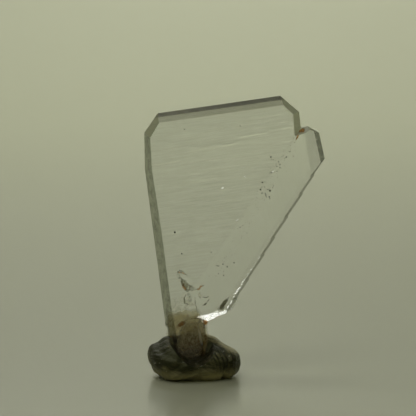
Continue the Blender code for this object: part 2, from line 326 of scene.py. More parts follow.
def strip_faces(sizes, is_front, step):
    """Faces of one growth block of the second individual."""
    long_out = side_cap_outward(C2, A2, 1)
    corner = at(C2, A2, LOWER_CORNER)
    stagger = STRIP_NUDGE * STRIP_STAGGER * step
    left = at(C1, A1, (LEFT_EDGE + STRIP_NUDGE * STRIP_INSET + stagger, 0.0))
    upper = at(C2, A2, UPPER_CORNER)
    lower = STRIP_RELIEF + STRIP_NUDGE * step
    tip_tilt = TIP_TILT if is_front else FRONT_CAP_TILT
    faces = [
        (CLEAR, (face_depth(sizes, is_front) - lower, 0.0, 0.0)),
        (TIP, face(at(C2, A2, (0.0, TIP_EDGE)), C2, slope_of(tip_tilt))),
        (CAP, face(at(C2, A2, (UPPER_EDGE, 0.0)), -A2, slope_of(PRISM_TILT))),
        (CAP, face(upper, side_cap_outward(C2, A2, -1), slope_of(SIDE_CAP_TILT))),
        (STEPPED, face(corner + long_out * LONG_EDGE_STEP * step, long_out, slope_of(SIDE_CAP_TILT))),
        (CLEAR, face(NOTCH - TWIN_OUT * (TWIN_OVERLAP + stagger), -TWIN_OUT, WALL_SLOPE)),
        (PRISM, face(left, -A1, slope_of(PRISM_TILT))),
        (CLEAR, face(UP * (STRIP_BOTTOM + stagger), -UP, WALL_SLOPE)),
    ]
    if step:
        start = corner - TWIN_ALONG * LONG_EDGE_STEP_AT[step - 1]
        faces.append((STEPPED, face(start, C2, slope_of(PRISM_TILT))))
    if is_front:
        level, gx, gz = vicinal_faces(sizes)[-1]
        faces.append((CLEAR, (level - lower, gx, gz)))
    return faces


def stem_faces(sizes, is_front):
    """Faces of the stem and of the root that stands in the tack."""
    right = Vector((STEM_RIGHT, 0.0, STEM_TOP))
    left = at(C1, A1, (LEFT_EDGE + STEM_INSET * STEM_RELIEF, 0.0))
    return [
        (CLEAR, (face_depth(sizes, is_front) - STEM_RELIEF, 0.0, 0.0)),
        (PRISM, face(left, -A1, slope_of(PRISM_TILT))),
        (BROKEN, face(right, STEM_OUT, WALL_SLOPE)),
        (CLEAR, face(UP * STEM_TOP, UP, WALL_SLOPE)),
        (BROKEN, face(UP * (ROOT_BOTTOM - STEM_RELIEF), -UP, WALL_SLOPE)),
    ]


SHEET_SIDE = 120.0
PROBE = 0.05  # how finely the plate is probed for the lines where faces meet
PROBE_X = (-12.8, 12.8)
PROBE_Z = (1.6, 38.4)
ROW_SPAN = (-32.5, 4.9)  # mm along the first individual's c axis, from the notch
COLUMN_SPAN = (-22.3, 6.0)  # mm across it
WELD = 0.002
LEVEL = 1e-8  # square of the slope under which two faces count as parallel
BREAK_FACES = 4
# Growth ledges, in mm unless a comment says otherwise.
LEDGE_BOW = 0.08
LEDGE_BOW_LENGTH = 5.0
LEDGE_WANDER = 0.025
LEDGE_PACE = 1.1  # each ledge wanders at least this fast, and starts at a place of its own
LEDGE_PHASE = 9.0
LEDGE_REACH = 0.5
LEDGE_END = 0.4  # softness of its ends and of its sides
LEDGE_SIDE = 0.06
LEDGE_FADE = 0.3  # it is whole at this distance from the twin plane
LEDGE_ROOM = 0.5  # and at this height over the middle plane
LEDGE_WEAR = 0.15  # share of their height that the large ledges keep
LEDGE_COUNT = 1300  # fine ledges on each side of the plate
LEDGE_SEEDS = (11, 12)
LEDGE_BELOW = (1.5, 33.0)  # from the top edge
LEDGE_ACROSS = (-21.0, 0.0)
LEDGE_BREADTHS = (0.08, 0.1, 0.14, 0.2, 0.35)
LEDGE_SPREAD = (0.7, 1.3)  # a breadth is this many times one of those
LEDGE_HALF = (0.4, 3.5)  # half lengths, from the shortest to the longest


class Sheet:
    """Heights of the plate's front or back surface over its middle plane."""

    def __init__(self, sizes, is_front):
        self.is_front = is_front
        blocks = [first_faces(sizes, is_front)]
        blocks += [strip_faces(sizes, is_front, k) for k in range(len(LONG_EDGE_STEP_AT) + 1)]
        blocks.append(stem_faces(sizes, is_front))
        rows = [row for block in blocks for row in block] + self.break_faces()
        self.table = np.array([plane for _, plane in rows])
        self.kinds = np.array([kind for kind, _ in rows] + [BROKEN], np.int32)
        ends = np.cumsum([len(block) for block in blocks])
        self.blocks = [range(end - len(block), end) for block, end in zip(blocks, ends)]
        self.scooped = len(self.table)

    def break_faces(self):
        """The break below the plate and its lower edge, and the stem's side and shoulder."""
        break_up = square_up(BREAK_OUTER - BREAK_INNER)
        edge_up = square_up(BREAK_EDGE_OUTER - BREAK_EDGE_INNER)
        over = square_up(SHOULDER_OUTER - SHOULDER_INNER)
        return [
            (BROKEN, face(BREAK_INNER, -break_up, 1 / slope_of(BREAK_DIP))),
            (BROKEN, face(BREAK_EDGE_INNER, -edge_up, WALL_SLOPE)),
            (BROKEN, face(SHOULDER_OUTER, STEM_OUT, WALL_SLOPE)),
            (BROKEN, face(SHOULDER_INNER, over, WALL_SLOPE)),
        ]

    def heights(self, x, z):
        """Height over the middle plane at each place, and the face that it lies on."""
        values = self.table[:, :1] + self.table[:, 1:2] * x + self.table[:, 2:] * z
        height = np.full(len(x), -np.inf)
        active = np.zeros(len(x), int)
        for block in self.blocks:
            part = values[block.start : block.stop]
            lowest = part.argmin(axis=0)
            here = part[lowest, np.arange(len(x))]
            active = np.where(here > height, lowest + block.start, active)
            height = np.maximum(height, here)
        if not self.is_front:
            return height, active
        below, edge, side, over = values[-BREAK_FACES:]
        broken, stem = np.minimum(below, edge), np.minimum(side, over)
        limit = np.maximum(broken, stem)
        on_break, on_stem = np.where(below < edge, 0, 1), np.where(side < over, 2, 3)
        kept = np.where(broken >= stem, on_break, on_stem)
        active = np.where(limit < height, kept + len(self.table) - BREAK_FACES, active)
        height = np.minimum(height, limit)
        reach = SCOOP_RADIUS**2 - (x - SCOOP_CENTRE.x) ** 2 - (z - SCOOP_CENTRE.z) ** 2
        scoop = -SCOOP_CENTRE.y - np.sqrt(np.maximum(reach, 0.0))
        scoop = np.where(reach > 0, scoop, np.inf)
        active = np.where(scoop < height, self.scooped, active)
        return np.minimum(height, scoop), active


def cut_all(line):
    """Cuts the flat sheet in edit mode along the line k + gx x + gz z = 0."""
    k, gx, gz = line / math.hypot(line[1], line[2])
    bpy.ops.mesh.select_all(action="SELECT")
    bpy.ops.mesh.bisect(
        plane_co=(-k * gx, 0.0, -k * gz),
        plane_no=(gx, 0.0, gz),
        use_fill=False,
        clear_inner=False,
        clear_outer=False,
        threshold=WELD / 4,
    )


def neighbour_pairs(labels):
    """The different pairs of labels that lie side by side in a grid of them."""
    found = set()
    for a, b in ((labels[1:], labels[:-1]), (labels[:, 1:], labels[:, :-1])):
        differ = a != b
        pairs = np.stack([np.minimum(a, b)[differ], np.maximum(a, b)[differ]], 1)
        found |= {tuple(pair) for pair in np.unique(pairs, axis=0)}
    return found


def facet_lines(sheets):
    """Every line where two faces meet on either side of the plate, or where the plate ends."""
    x, z = np.meshgrid(np.arange(*PROBE_X, PROBE), np.arange(*PROBE_Z, PROBE))
    sides = [sheet.heights(x.ravel(), z.ravel()) for sheet in sheets]
    inside = (sides[0][0] + sides[1][0] > 0).reshape(x.shape)
    lines = []
    for sheet, (_, active) in zip(sheets, sides):
        labels = np.where(inside, active.reshape(x.shape), -1)
        for first, second in sorted(neighbour_pairs(labels)):
            if first >= 0 and second < sheet.scooped:
                lines.append(sheet.table[first] - sheet.table[second])
    front, back = (active.reshape(x.shape) for _, active in sides)
    span = len(sheets[1].table)
    both = np.where(inside, front * span + back, -1)
    rims = {second for first, second in neighbour_pairs(both) if first < 0}
    for rim in sorted(rims):
        if rim // span < sheets[0].scooped:
            lines.append(sheets[0].table[rim // span] + sheets[1].table[rim % span])
    return [line for line in lines if line[1] ** 2 + line[2] ** 2 > LEVEL]


def face_centres(obj):
    """The middles of the object's faces as rows of x, y and z."""
    centres = np.empty(len(obj.data.polygons) * 3)
    obj.data.polygons.foreach_get("center", centres)
    return centres.reshape(-1, 3)


def flat_layout(sheets, name):
    """The plate's outline as a flat sheet, with an edge along each line where faces meet."""
    bpy.ops.mesh.primitive_plane_add(size=SHEET_SIDE, rotation=(math.pi / 2, 0.0, 0.0))
    bpy.ops.object.transform_apply()
    obj = added(name)
    bpy.ops.object.mode_set(mode="EDIT")
    for line in facet_lines(sheets):
        cut_all(line)
    bpy.ops.object.mode_set(mode="OBJECT")
    centres = face_centres(obj)
    total, front, back = thickness(sheets, centres[:, 0], centres[:, 2])
    labels = front * len(sheets[1].table) + back
    order = np.unique(labels, return_inverse=True)[1].reshape(-1)
    for _ in range(order.max() + 1):
        obj.data.materials.append(None)
    obj.data.polygons.foreach_set("material_index", order)
    select_faces(obj, total < 0)
    bpy.ops.mesh.delete(type="FACE")
    bpy.ops.mesh.select_all(action="SELECT")
    bpy.ops.mesh.dissolve_limited(angle_limit=math.radians(1), delimit={"MATERIAL"})
    bpy.ops.mesh.select_all(action="SELECT")
    bpy.ops.mesh.mark_sharp()
    bpy.ops.object.mode_set(mode="OBJECT")
    obj.data.materials.clear()
    return obj


def cut_rows(sizes):
    """Cuts the active sheet into fine rows along the top edge, and into columns across them."""
    bpy.ops.object.mode_set(mode="EDIT")
    for outward, start, end, step in (
        (C1, *ROW_SPAN, sizes.row_spacing / TO_METRES),
        (A1, *COLUMN_SPAN, sizes.column_spacing / TO_METRES),
    ):
        for reach in np.arange(start, end, step):
            cut_all(np.array(face(NOTCH + outward * reach, outward, 1.0)))
    bpy.ops.object.mode_set(mode="OBJECT")


def thickness(sheets, x, z):
    """Thickness of the plate at each place, and the faces that it has in front and behind."""
    (front, front_face), (back, back_face) = (sheet.heights(x, z) for sheet in sheets)
    return front + back, front_face, back_face


def relief(ledges, below, across):
    """Height that growth ledges add, at a depth below the top edge and a place across, in mm."""
    total = np.zeros(len(below))
    for middle, breadth, left, right, height in ledges:
        near = np.flatnonzero(abs(below - middle) < breadth / 2 + LEDGE_REACH)
        along = across[near]
        bowed = below[near] - middle - LEDGE_BOW * np.sin(along / LEDGE_BOW_LENGTH + middle)
        pace = LEDGE_PACE + middle % 1.0
        bowed -= LEDGE_WANDER * np.sin(along * pace + LEDGE_PHASE * middle)
        ends = np.tanh((along - left) / LEDGE_END) - np.tanh((along - right) / LEDGE_END)
        over, under = bowed + breadth / 2, bowed - breadth / 2
        sides = np.tanh(over / LEDGE_SIDE) - np.tanh(under / LEDGE_SIDE)
        total[near] += height * ends * sides / 4
    return total


def fine_ledges(seed, count, height):
    """Random low ledges, as quartz prism faces carry across their c axis."""
    random = np.random.default_rng(seed)
    ledges = []
    for _ in range(count):
        middle = random.uniform(*LEDGE_BELOW)
        breadth = random.choice(LEDGE_BREADTHS) * random.uniform(*LEDGE_SPREAD)
        centre = random.uniform(*LEDGE_ACROSS)
        half = math.exp(random.uniform(*np.log(LEDGE_HALF)))
        ledges.append((middle, breadth, centre - half, centre + half, height * random.normal()))
    return ledges


def add_relief(sheet, height, x, z, sizes):
    """The height of the sheet with the first individual's growth ledges on it."""
    place_x, place_z = x - NOTCH.x, z - NOTCH.z
    across = place_x * A1.x + place_z * A1.z
    below = TOP_EDGE - (place_x * C1.x + place_z * C1.z)
    inside = -(place_x * TWIN_OUT.x + place_z * TWIN_OUT.z)
    strength = np.clip(inside / LEDGE_FADE, 0, 1) * np.clip(height / LEDGE_ROOM, 0, 1)
    strong = FRONT_LEDGES if sheet.is_front else BACK_LEDGES
    flecks = relief(FLECKS, below, across) if sheet.is_front else 0.0
    seed = LEDGE_SEEDS[0 if sheet.is_front else 1]
    fine = fine_ledges(seed, LEDGE_COUNT, sizes.striation_relief / TO_METRES)
    worn = LEDGE_WEAR * relief(strong, below, across) + flecks
    return height + strength * (worn + relief(fine, below, across))


def rim_points(obj):
    """True for each vertex on the open rim of a flat sheet."""
    mesh = obj.data
    edges = np.empty(len(mesh.loops), np.int32)
    mesh.loops.foreach_get("edge_index", edges)
    used = np.bincount(edges, minlength=len(mesh.edges))
    ends = np.empty(len(mesh.edges) * 2, np.int32)
    mesh.edges.foreach_get("vertices", ends)
    rim = np.zeros(len(mesh.vertices), bool)
    rim[ends.reshape(-1, 2)[used == 1].ravel()] = True
    return rim


def raise_sheet(obj, sheets, sizes, is_front, materials):
    """Moves the flat sheet out to the plate's front or back surface."""
    centres = face_centres(obj)
    sheet = sheets[0] if is_front else sheets[1]
    _, active = sheet.heights(centres[:, 0], centres[:, 2])
    for material in materials:
        obj.data.materials.append(material)
    obj.data.polygons.foreach_set("material_index", sheet.kinds[active])
    points = points_of(obj)
    x, z = points[:, 0], points[:, 2]
    front, back = (add_relief(sheet, sheet.heights(x, z)[0], x, z, sizes) for sheet in sheets)
    points[:, 1] = -front if is_front else back
    rim = rim_points(obj)
    points[rim, 1] = ((back - front) / 2)[rim]
    move_points(obj, points)


def finish_piece(obj, node_name, materials, smooth_deg):
    """Brings a piece from millimetres to metres, and gives it its finish and its place."""
    obj.data.transform(Matrix.Scale(TO_METRES, 4))
    pick(obj)
    bpy.ops.object.shade_smooth_by_angle(angle=math.radians(smooth_deg))
    for material in materials:
        obj.data.materials.append(material)
    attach(obj, "root")
    if node_name:
        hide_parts(node_name)


def join_sheets(front, back, name):
    """Makes one closed body of the two surfaces of the plate."""
    pick(back)
    bpy.ops.object.mode_set(mode="EDIT")
    bpy.ops.mesh.select_all(action="SELECT")
    bpy.ops.mesh.flip_normals()
    bpy.ops.object.mode_set(mode="OBJECT")
    front.select_set(True)
    bpy.context.view_layer.objects.active = front
    bpy.ops.object.join()
    bpy.ops.object.mode_set(mode="EDIT")
    bpy.ops.mesh.select_all(action="SELECT")
    bpy.ops.mesh.remove_doubles(threshold=WELD / 2)
    face_outwards()
    return added(name)


def make_crystal(sizes, materials):
    """The twin: one flat layout, raised to the front and the back of the plate and closed."""
    sheets = [Sheet(sizes, True), Sheet(sizes, False)]
    front = flat_layout(sheets, "twin_quartz")
    cut_rows(sizes)
    pick(front)
    bpy.ops.object.duplicate()
    back = added("twin_quartz_back")
    raise_sheet(front, sheets, sizes, True, materials)
    raise_sheet(back, sheets, sizes, False, materials)
    crystal = join_sheets(front, back, "twin_quartz")
    finish_piece(crystal, "twin_crystal", [], 180)


# ---------------------------------------------------------------- the lump of tack

LUMP_CENTRE = np.array((-5.62, -0.23, 2.75))
LUMP_HALF = np.array((6.35, 5.2, 3.15))
LUMP_LOBES = ((0.035, 3, 0.8), (0.025, 5, -1.57))  # share of the radius, number round it, phase
LUMP_RINGS = 192
LUMP_RIGHT_SAG = 1.05
SAG_ABOVE = 0.5  # share of the sag that the upper half has
LUMP_FRONT_DIP = 0.9
# The press of a thumb on the right of the front.
PRESS_MIDDLE = -0.3
PRESS_BREADTH = 2.3
PRESS_DEPTH = 0.7
PRESS_START = 0.3
PRESS_RAMP = 1.3
# Folds: direction across the fold, offset from the lump's centre, depth and width, in mm.
FOLDS = (
    ((0.20, -0.15, 0.97), 0.95, 0.20, 0.60),
    ((0.35, 0.10, -0.93), 1.70, 0.25, 0.55),
    ((-0.72, -0.30, 0.62), 3.30, 0.24, 0.60),
    ((-0.10, 0.95, 0.30), 3.00, 0.30, 0.65),
)
FOLD_LIP = 0.6
FOLD_LIP_SHIFT = 1.6
# The flap on the right: a groove round this middle in the XZ plane, its radius, depth and width,
# and how far the flap stands out beyond it, in mm.
FLAP_MIDDLE = (-5.2, 2.1)
FLAP_RADIUS = 3.78
FLAP_DEPTH = 0.4
FLAP_WIDTH = 0.28
FLAP_STAND = 0.15
FLAP_WAVE = 0.15  # how far the groove wavers, and how fast
FLAP_WAVE_RATE = 1.7
FLAP_FADE_RIGHT = 2.0  # it fades in over these lengths, to the right and to the front
FLAP_FADE_FRONT = 1.5
SHOULDER_SLOPE = 0.3  # how fast the top falls away on the right
SHOULDER_START = 0.1
FOOT_HEIGHT = 1.6  # the lower part of the lump spreads on what it stands on
FOOT_SPREAD = 0.22
FOOT_REACH = 5.5
FOOT_FULL = 1.25  # what it has over 1 is the share of that reach with the full spread
FULLNESS = 2.4  # exponent of the lump's outline on the left, where 2 would be an ellipse
FULL_BELOW = 1.0  # share of that fullness in the lower and the upper half
FULL_ABOVE = 0.6
POLE = 0.95  # nearer a pole than this the outline isn't made any fuller
RIGHT_START = 3.0  # the right end starts so far from the centre, and is whole after as much again
TUCK = 0.9  # how far the right end is tucked in over its foot
TUCK_HEIGHT = 1.7
TUCK_LIMIT = 1.2
OVER_HEIGHT = 2.6  # above it the right end draws in again, over the range
OVER_RANGE = 2.0
OVER_TUCK = 0.7
# The rim in front of the root: its lowest point, how fast it rises to both sides, and how far
# forward the lump is pressed down to it, in mm.
RIM_MIDDLE = -5.95
RIM_LOW = 2.7
RIM_RISE = 0.24
RIM_START = 0.9
RIM_RAMP = 0.7
RIM_FALL = 0.12
RIM_UNEVEN = (0.12, 0.9, 5.0)  # height, size and seed of its bumps
# Finger ridges: centre of their arcs, spacing, height, middle, and how far they fade from it.
RIDGES = (
    ((-5.2, 0.0, 2.1), 0.46, 0.075, (-2.3, -3.6, 3.6), 2.5),
    ((-12.6, -6.0, 8.5), 0.40, 0.035, (-10.3, -2.6, 3.4), 1.9),
    ((-5.0, -9.0, -4.5), 0.55, 0.030, (-6.0, -4.6, 1.4), 3.4),
    ((-6.0, 9.0, -2.0), 0.50, 0.040, (-6.0, 4.4, 3.0), 3.5),
)
RIDGE_STRETCH = (1.0, 0.15, 1.0)  # the arcs run almost straight back
RIDGE_WANDER = (1.6, 1.4, 41.0)  # how far they wander in phase, over what length, and seed
# Kneading marks: size of the lumps that the noise makes and their height, in mm, and seed.
KNEADING = ((2.6, 0.16, 3.0), (1.0, 0.07, 17.0), (0.42, 0.028, 29.0))
POCKET_PLAY = 0.03
CUTTER_SIDE = 30.0
CUTTER_MIDDLE = (-6.0, 0.0, 12.0)
CRUMB_COUNT = 60
CRUMB_RADII = (0.04, 0.13)
CRUMB_CLEAR = 1.2  # crumbs keep so far above the table, and from the plane of the plate
# Grains, crumbs and flakes are one angular grain, with corners pulled in and out, each copy of
# which is stretched its own way.
GRAIN_CORNERS = (0.7, 1.15)
GRAIN_STRETCH = (0.7, 1.2)
GRAIN_FLATNESS = 0.7  # thickness as a share of the radius
SPECK_FLATNESS = 0.5
CHIP_FLATNESS = 0.08
FLAKE_FLATNESS = 0.06


def fold_offset(place):
    """How far the folds draw the skin in, and the lips beside them push it out, in mm."""
    total = np.zeros(len(place))
    for direction, offset, depth, width in FOLDS:
        unit = np.array(direction) / np.linalg.norm(direction)
        distance = (place @ unit - offset) / width
        total -= depth * np.exp(-(distance**2))
        total += FOLD_LIP * depth * np.exp(-((distance + FOLD_LIP_SHIFT) ** 2))
    return total


def thumb_press(place):
    """How far the thumb has pressed the front down, in mm."""
    reach = np.clip((-place[:, 1] - PRESS_START) / PRESS_RAMP, 0, 1)
    return PRESS_DEPTH * reach * np.exp(-(((place[:, 0] - PRESS_MIDDLE) / PRESS_BREADTH) ** 2))


def noise_at(place, scale, seed):
    """Smooth noise, about -1 to 1, at each place; scale is the size of its features in mm."""
    return np.array([noise.noise(Vector(p) / scale + Vector((seed, 0, 0))) for p in place])


def lump_skin(shape):
    """Moves points of a unit sphere to the lump's skin, in mm."""
    turn = np.arctan2(shape[:, 1], shape[:, 0])
    lobes = 1 + sum(share * np.cos(count * turn + phase) for share, count, phase in LUMP_LOBES)
    place = shape * np.stack([lobes, lobes, np.ones(len(shape))], 1) * LUMP_HALF
    rise = np.clip(abs(shape[:, 2]), 0, POLE)
    fuller = (1 - rise**FULLNESS) ** (1 / FULLNESS) / np.sqrt(1 - rise**2) - 1
    above, below = np.clip(shape[:, 2], 0, None), shape[:, 2] < 0
    on_the_left = np.clip(-2 * shape[:, 0], 0, 1) * np.where(below, FULL_BELOW, FULL_ABOVE)
    place[:, :2] *= 1 + (fuller * on_the_left)[:, None]
    place += shape * fold_offset(place)[:, None]
    place[:, 2] -= LUMP_FRONT_DIP * np.clip(-shape[:, 1], 0, None) * above
    place[:, 2] -= thumb_press(place) * np.sqrt(above)
    place[:, 2] -= LUMP_RIGHT_SAG * np.clip(shape[:, 0], 0, None) * np.where(below, 1.0, SAG_ABOVE)
    shoulder = np.clip(shape[:, 0] - SHOULDER_START, 0, None)
    place[:, 2] -= SHOULDER_SLOPE * shoulder * above * LUMP_HALF[2]
    place += LUMP_CENTRE
    low = np.clip(1 - place[:, 2] / FOOT_HEIGHT, 0, 1)
    middle = np.clip(FOOT_FULL - abs(place[:, 0] - LUMP_CENTRE[0]) / FOOT_REACH, 0, 1)
    place[:, 1] += (place[:, 1] - LUMP_CENTRE[1]) * FOOT_SPREAD * low * middle
    under = np.clip(1 - place[:, 2] / TUCK_HEIGHT, 0, TUCK_LIMIT)
    over = np.clip(place[:, 2] - OVER_HEIGHT, 0, OVER_RANGE) / OVER_RANGE
    right = np.clip((place[:, 0] - LUMP_CENTRE[0] - RIGHT_START) / RIGHT_START, 0, 1)
    place[:, 0] -= (TUCK * under**2 + OVER_TUCK * over) * right
    return place


def flap(place):
    """The groove beside the flap on the right of the lump's front, and the flap's own stand."""
    radius = np.hypot(place[:, 0] - FLAP_MIDDLE[0], place[:, 2] - FLAP_MIDDLE[1])
    radius += FLAP_WAVE * np.sin(place[:, 2] * FLAP_WAVE_RATE)
    right = np.clip((place[:, 0] - FLAP_MIDDLE[0]) / FLAP_FADE_RIGHT, 0, 1)
    right *= np.clip(-place[:, 1] / FLAP_FADE_FRONT, 0, 1)
    over = (radius - FLAP_RADIUS) / FLAP_WIDTH
    return right * (FLAP_STAND * (1 + np.tanh(over)) / 2 - FLAP_DEPTH * np.exp(-(over**2)))


def finger_marks(place):
    """How far the kneading lumps and the ridges of a fingertip stand off the skin, in mm."""
    marks = sum(height * noise_at(place, size, seed) for size, height, seed in KNEADING)
    phase, length, start = RIDGE_WANDER
    wander = phase * noise_at(place, length, start)
    for centre, spacing, height, middle, fade in RIDGES:
        radius = np.linalg.norm((place - centre) * RIDGE_STRETCH, axis=1)
        strength = np.exp(-((np.linalg.norm(place - middle, axis=1) / fade) ** 4))
        marks += height * strength * np.sin(2 * math.pi * radius / spacing + wander)
    return marks


def press_rim(place):
    """Presses the front of the lump down to the rim that leaves the root of the crystal in view."""
    height, size, seed = RIM_UNEVEN
    low = RIM_LOW + RIM_RISE * (place[:, 0] - RIM_MIDDLE) ** 2 + height * noise_at(place, size, seed)
    low -= RIM_FALL * np.clip(-place[:, 1] - RIM_START, 0, None)
    reach = np.clip((-place[:, 1] - RIM_START) / RIM_RAMP, 0, 1)
    place[:, 2] -= reach * np.clip(place[:, 2] - low, 0, None)


def within_lump(place):
    """Keeps points, in mm, inside the box of the solid lump."""
    low, high = (np.array(corner) / TO_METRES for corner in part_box("putty_lump"))
    return np.clip(place, low, high)


def pocket_cutter(sizes):
    """The space of the crystal's root, a little wider all round."""
    prism = math.radians(PRISM_TILT)
    left = at(C1, A1, (LEFT_EDGE, 0.0)) - A1 * POCKET_PLAY / math.sin(prism)
    limits = [
        (FRONT * (face_depth(sizes, True) + POCKET_PLAY), FRONT),
        (BACK * (face_depth(sizes, False) + POCKET_PLAY), BACK),
        (left, -A1 * math.sin(prism) + FRONT * math.cos(prism)),
        (left, -A1 * math.sin(prism) + BACK * math.cos(prism)),
        (Vector((STEM_RIGHT + POCKET_PLAY, 0.0, STEM_TOP)), STEM_OUT),
        (UP * (ROOT_BOTTOM - STEM_RELIEF - POCKET_PLAY), -UP),
    ]
    deselect()
    bpy.ops.mesh.primitive_cube_add(size=CUTTER_SIDE, location=CUTTER_MIDDLE)
    bpy.ops.object.transform_apply()
    cutter = added("root_space")
    bpy.ops.object.mode_set(mode="EDIT")
    for point, outward in limits:
        bpy.ops.mesh.select_all(action="SELECT")
        bpy.ops.mesh.bisect(plane_co=point, plane_no=outward, use_fill=True, clear_outer=True)
    face_outwards()
    return cutter


def scatter(name, places, radii, flatness, seed, lie=None):
    """Copies of one angular grain, each turned and sized its own way, joined into one piece.

    Where lie is given, all lie nearly flat across that direction.
    """
    random = np.random.default_rng(seed)
    deselect()
    bpy.ops.mesh.primitive_ico_sphere_add(subdivisions=1, radius=1.0)
    grain = added(name)
    grain_points = points_of(grain)
    move_points(grain, grain_points * random.uniform(*GRAIN_CORNERS, (len(grain_points), 1)))
    for place, radius in zip(places[1:], radii[1:]):
        pick(grain)
        bpy.ops.object.duplicate()
        settle_grain(bpy.context.object, place, radius, flatness, random, lie)
    settle_grain(grain, places[0], radii[0], flatness, random, lie)
    deselect()
    for obj in bpy.data.objects:
        obj.select_set(obj.name.startswith(name))
    bpy.context.view_layer.objects.active = grain
    bpy.ops.object.transform_apply()
    bpy.ops.object.join()
    return added(name)


def settle_grain(grain, place, radius, flatness, random, lie):
    """Puts one grain in its place, turned by chance or nearly flat across the direction lie."""
    grain.location = place
    if lie is None:
        grain.rotation_euler = random.uniform(0, 2 * math.pi, 3)
    else:
        turned = Vector(lie) + Vector(random.normal(0, FLAKE_SWAY, 3))
        grain.rotation_euler = turned.to_track_quat("Z", "Y").to_euler()
    stretch = [random.uniform(*GRAIN_STRETCH), random.uniform(*GRAIN_STRETCH), flatness]
    grain.scale = radius * np.array(stretch)


def make_lump(sizes, material):
    """The lump of tack, with the pocket that the root stands in."""
    deselect()
    bpy.ops.mesh.primitive_uv_sphere_add(segments=2 * LUMP_RINGS, ring_count=LUMP_RINGS, radius=1.0)
    lump = added("mineral_tack")
    shape = points_of(lump)
    place = lump_skin(shape)
    place += shape * (finger_marks(place) + flap(place))[:, None]
    press_rim(place)
    place[:, 2] = np.maximum(place[:, 2], 0.0)
    move_points(lump, within_lump(place))
    cutter = pocket_cutter(sizes)
    carve = lump.modifiers.new("pocket", "BOOLEAN")
    carve.operation = "DIFFERENCE"
    carve.solver = "EXACT"
    carve.object = cutter
    pick(lump)
    bpy.ops.object.modifier_apply(modifier=carve.name)
    bpy.data.objects.remove(cutter)
    # The height of the marks: the material paints their crests paler, as painted highlight.
    crest = lump.data.attributes.new("crest", "FLOAT", "POINT")
    crest.data.foreach_set("value", finger_marks(points_of(lump)))
    finish_piece(lump, "putty_lump", [material], 50)
    return lump


def make_crumbs(lump, material):
    """Flakes of quartz and grit that the sticky skin has picked up."""
    random = np.random.default_rng(23)
    points = points_of(lump) / TO_METRES
    skin = points[(points[:, 2] > CRUMB_CLEAR) & (abs(points[:, 1]) > CRUMB_CLEAR)]
    chosen = skin[random.choice(len(skin), CRUMB_COUNT, replace=False)]
    radii = np.exp(random.uniform(*map(math.log, CRUMB_RADII), CRUMB_COUNT))
    crumbs = scatter("quartz_crumbs", [tuple(p) for p in chosen], radii, SPECK_FLATNESS, 24)
    move_points(crumbs, within_lump(points_of(crumbs)))
    finish_piece(crumbs, None, [material], 20)


# ---------------------------------------------------------------- inside the crystal

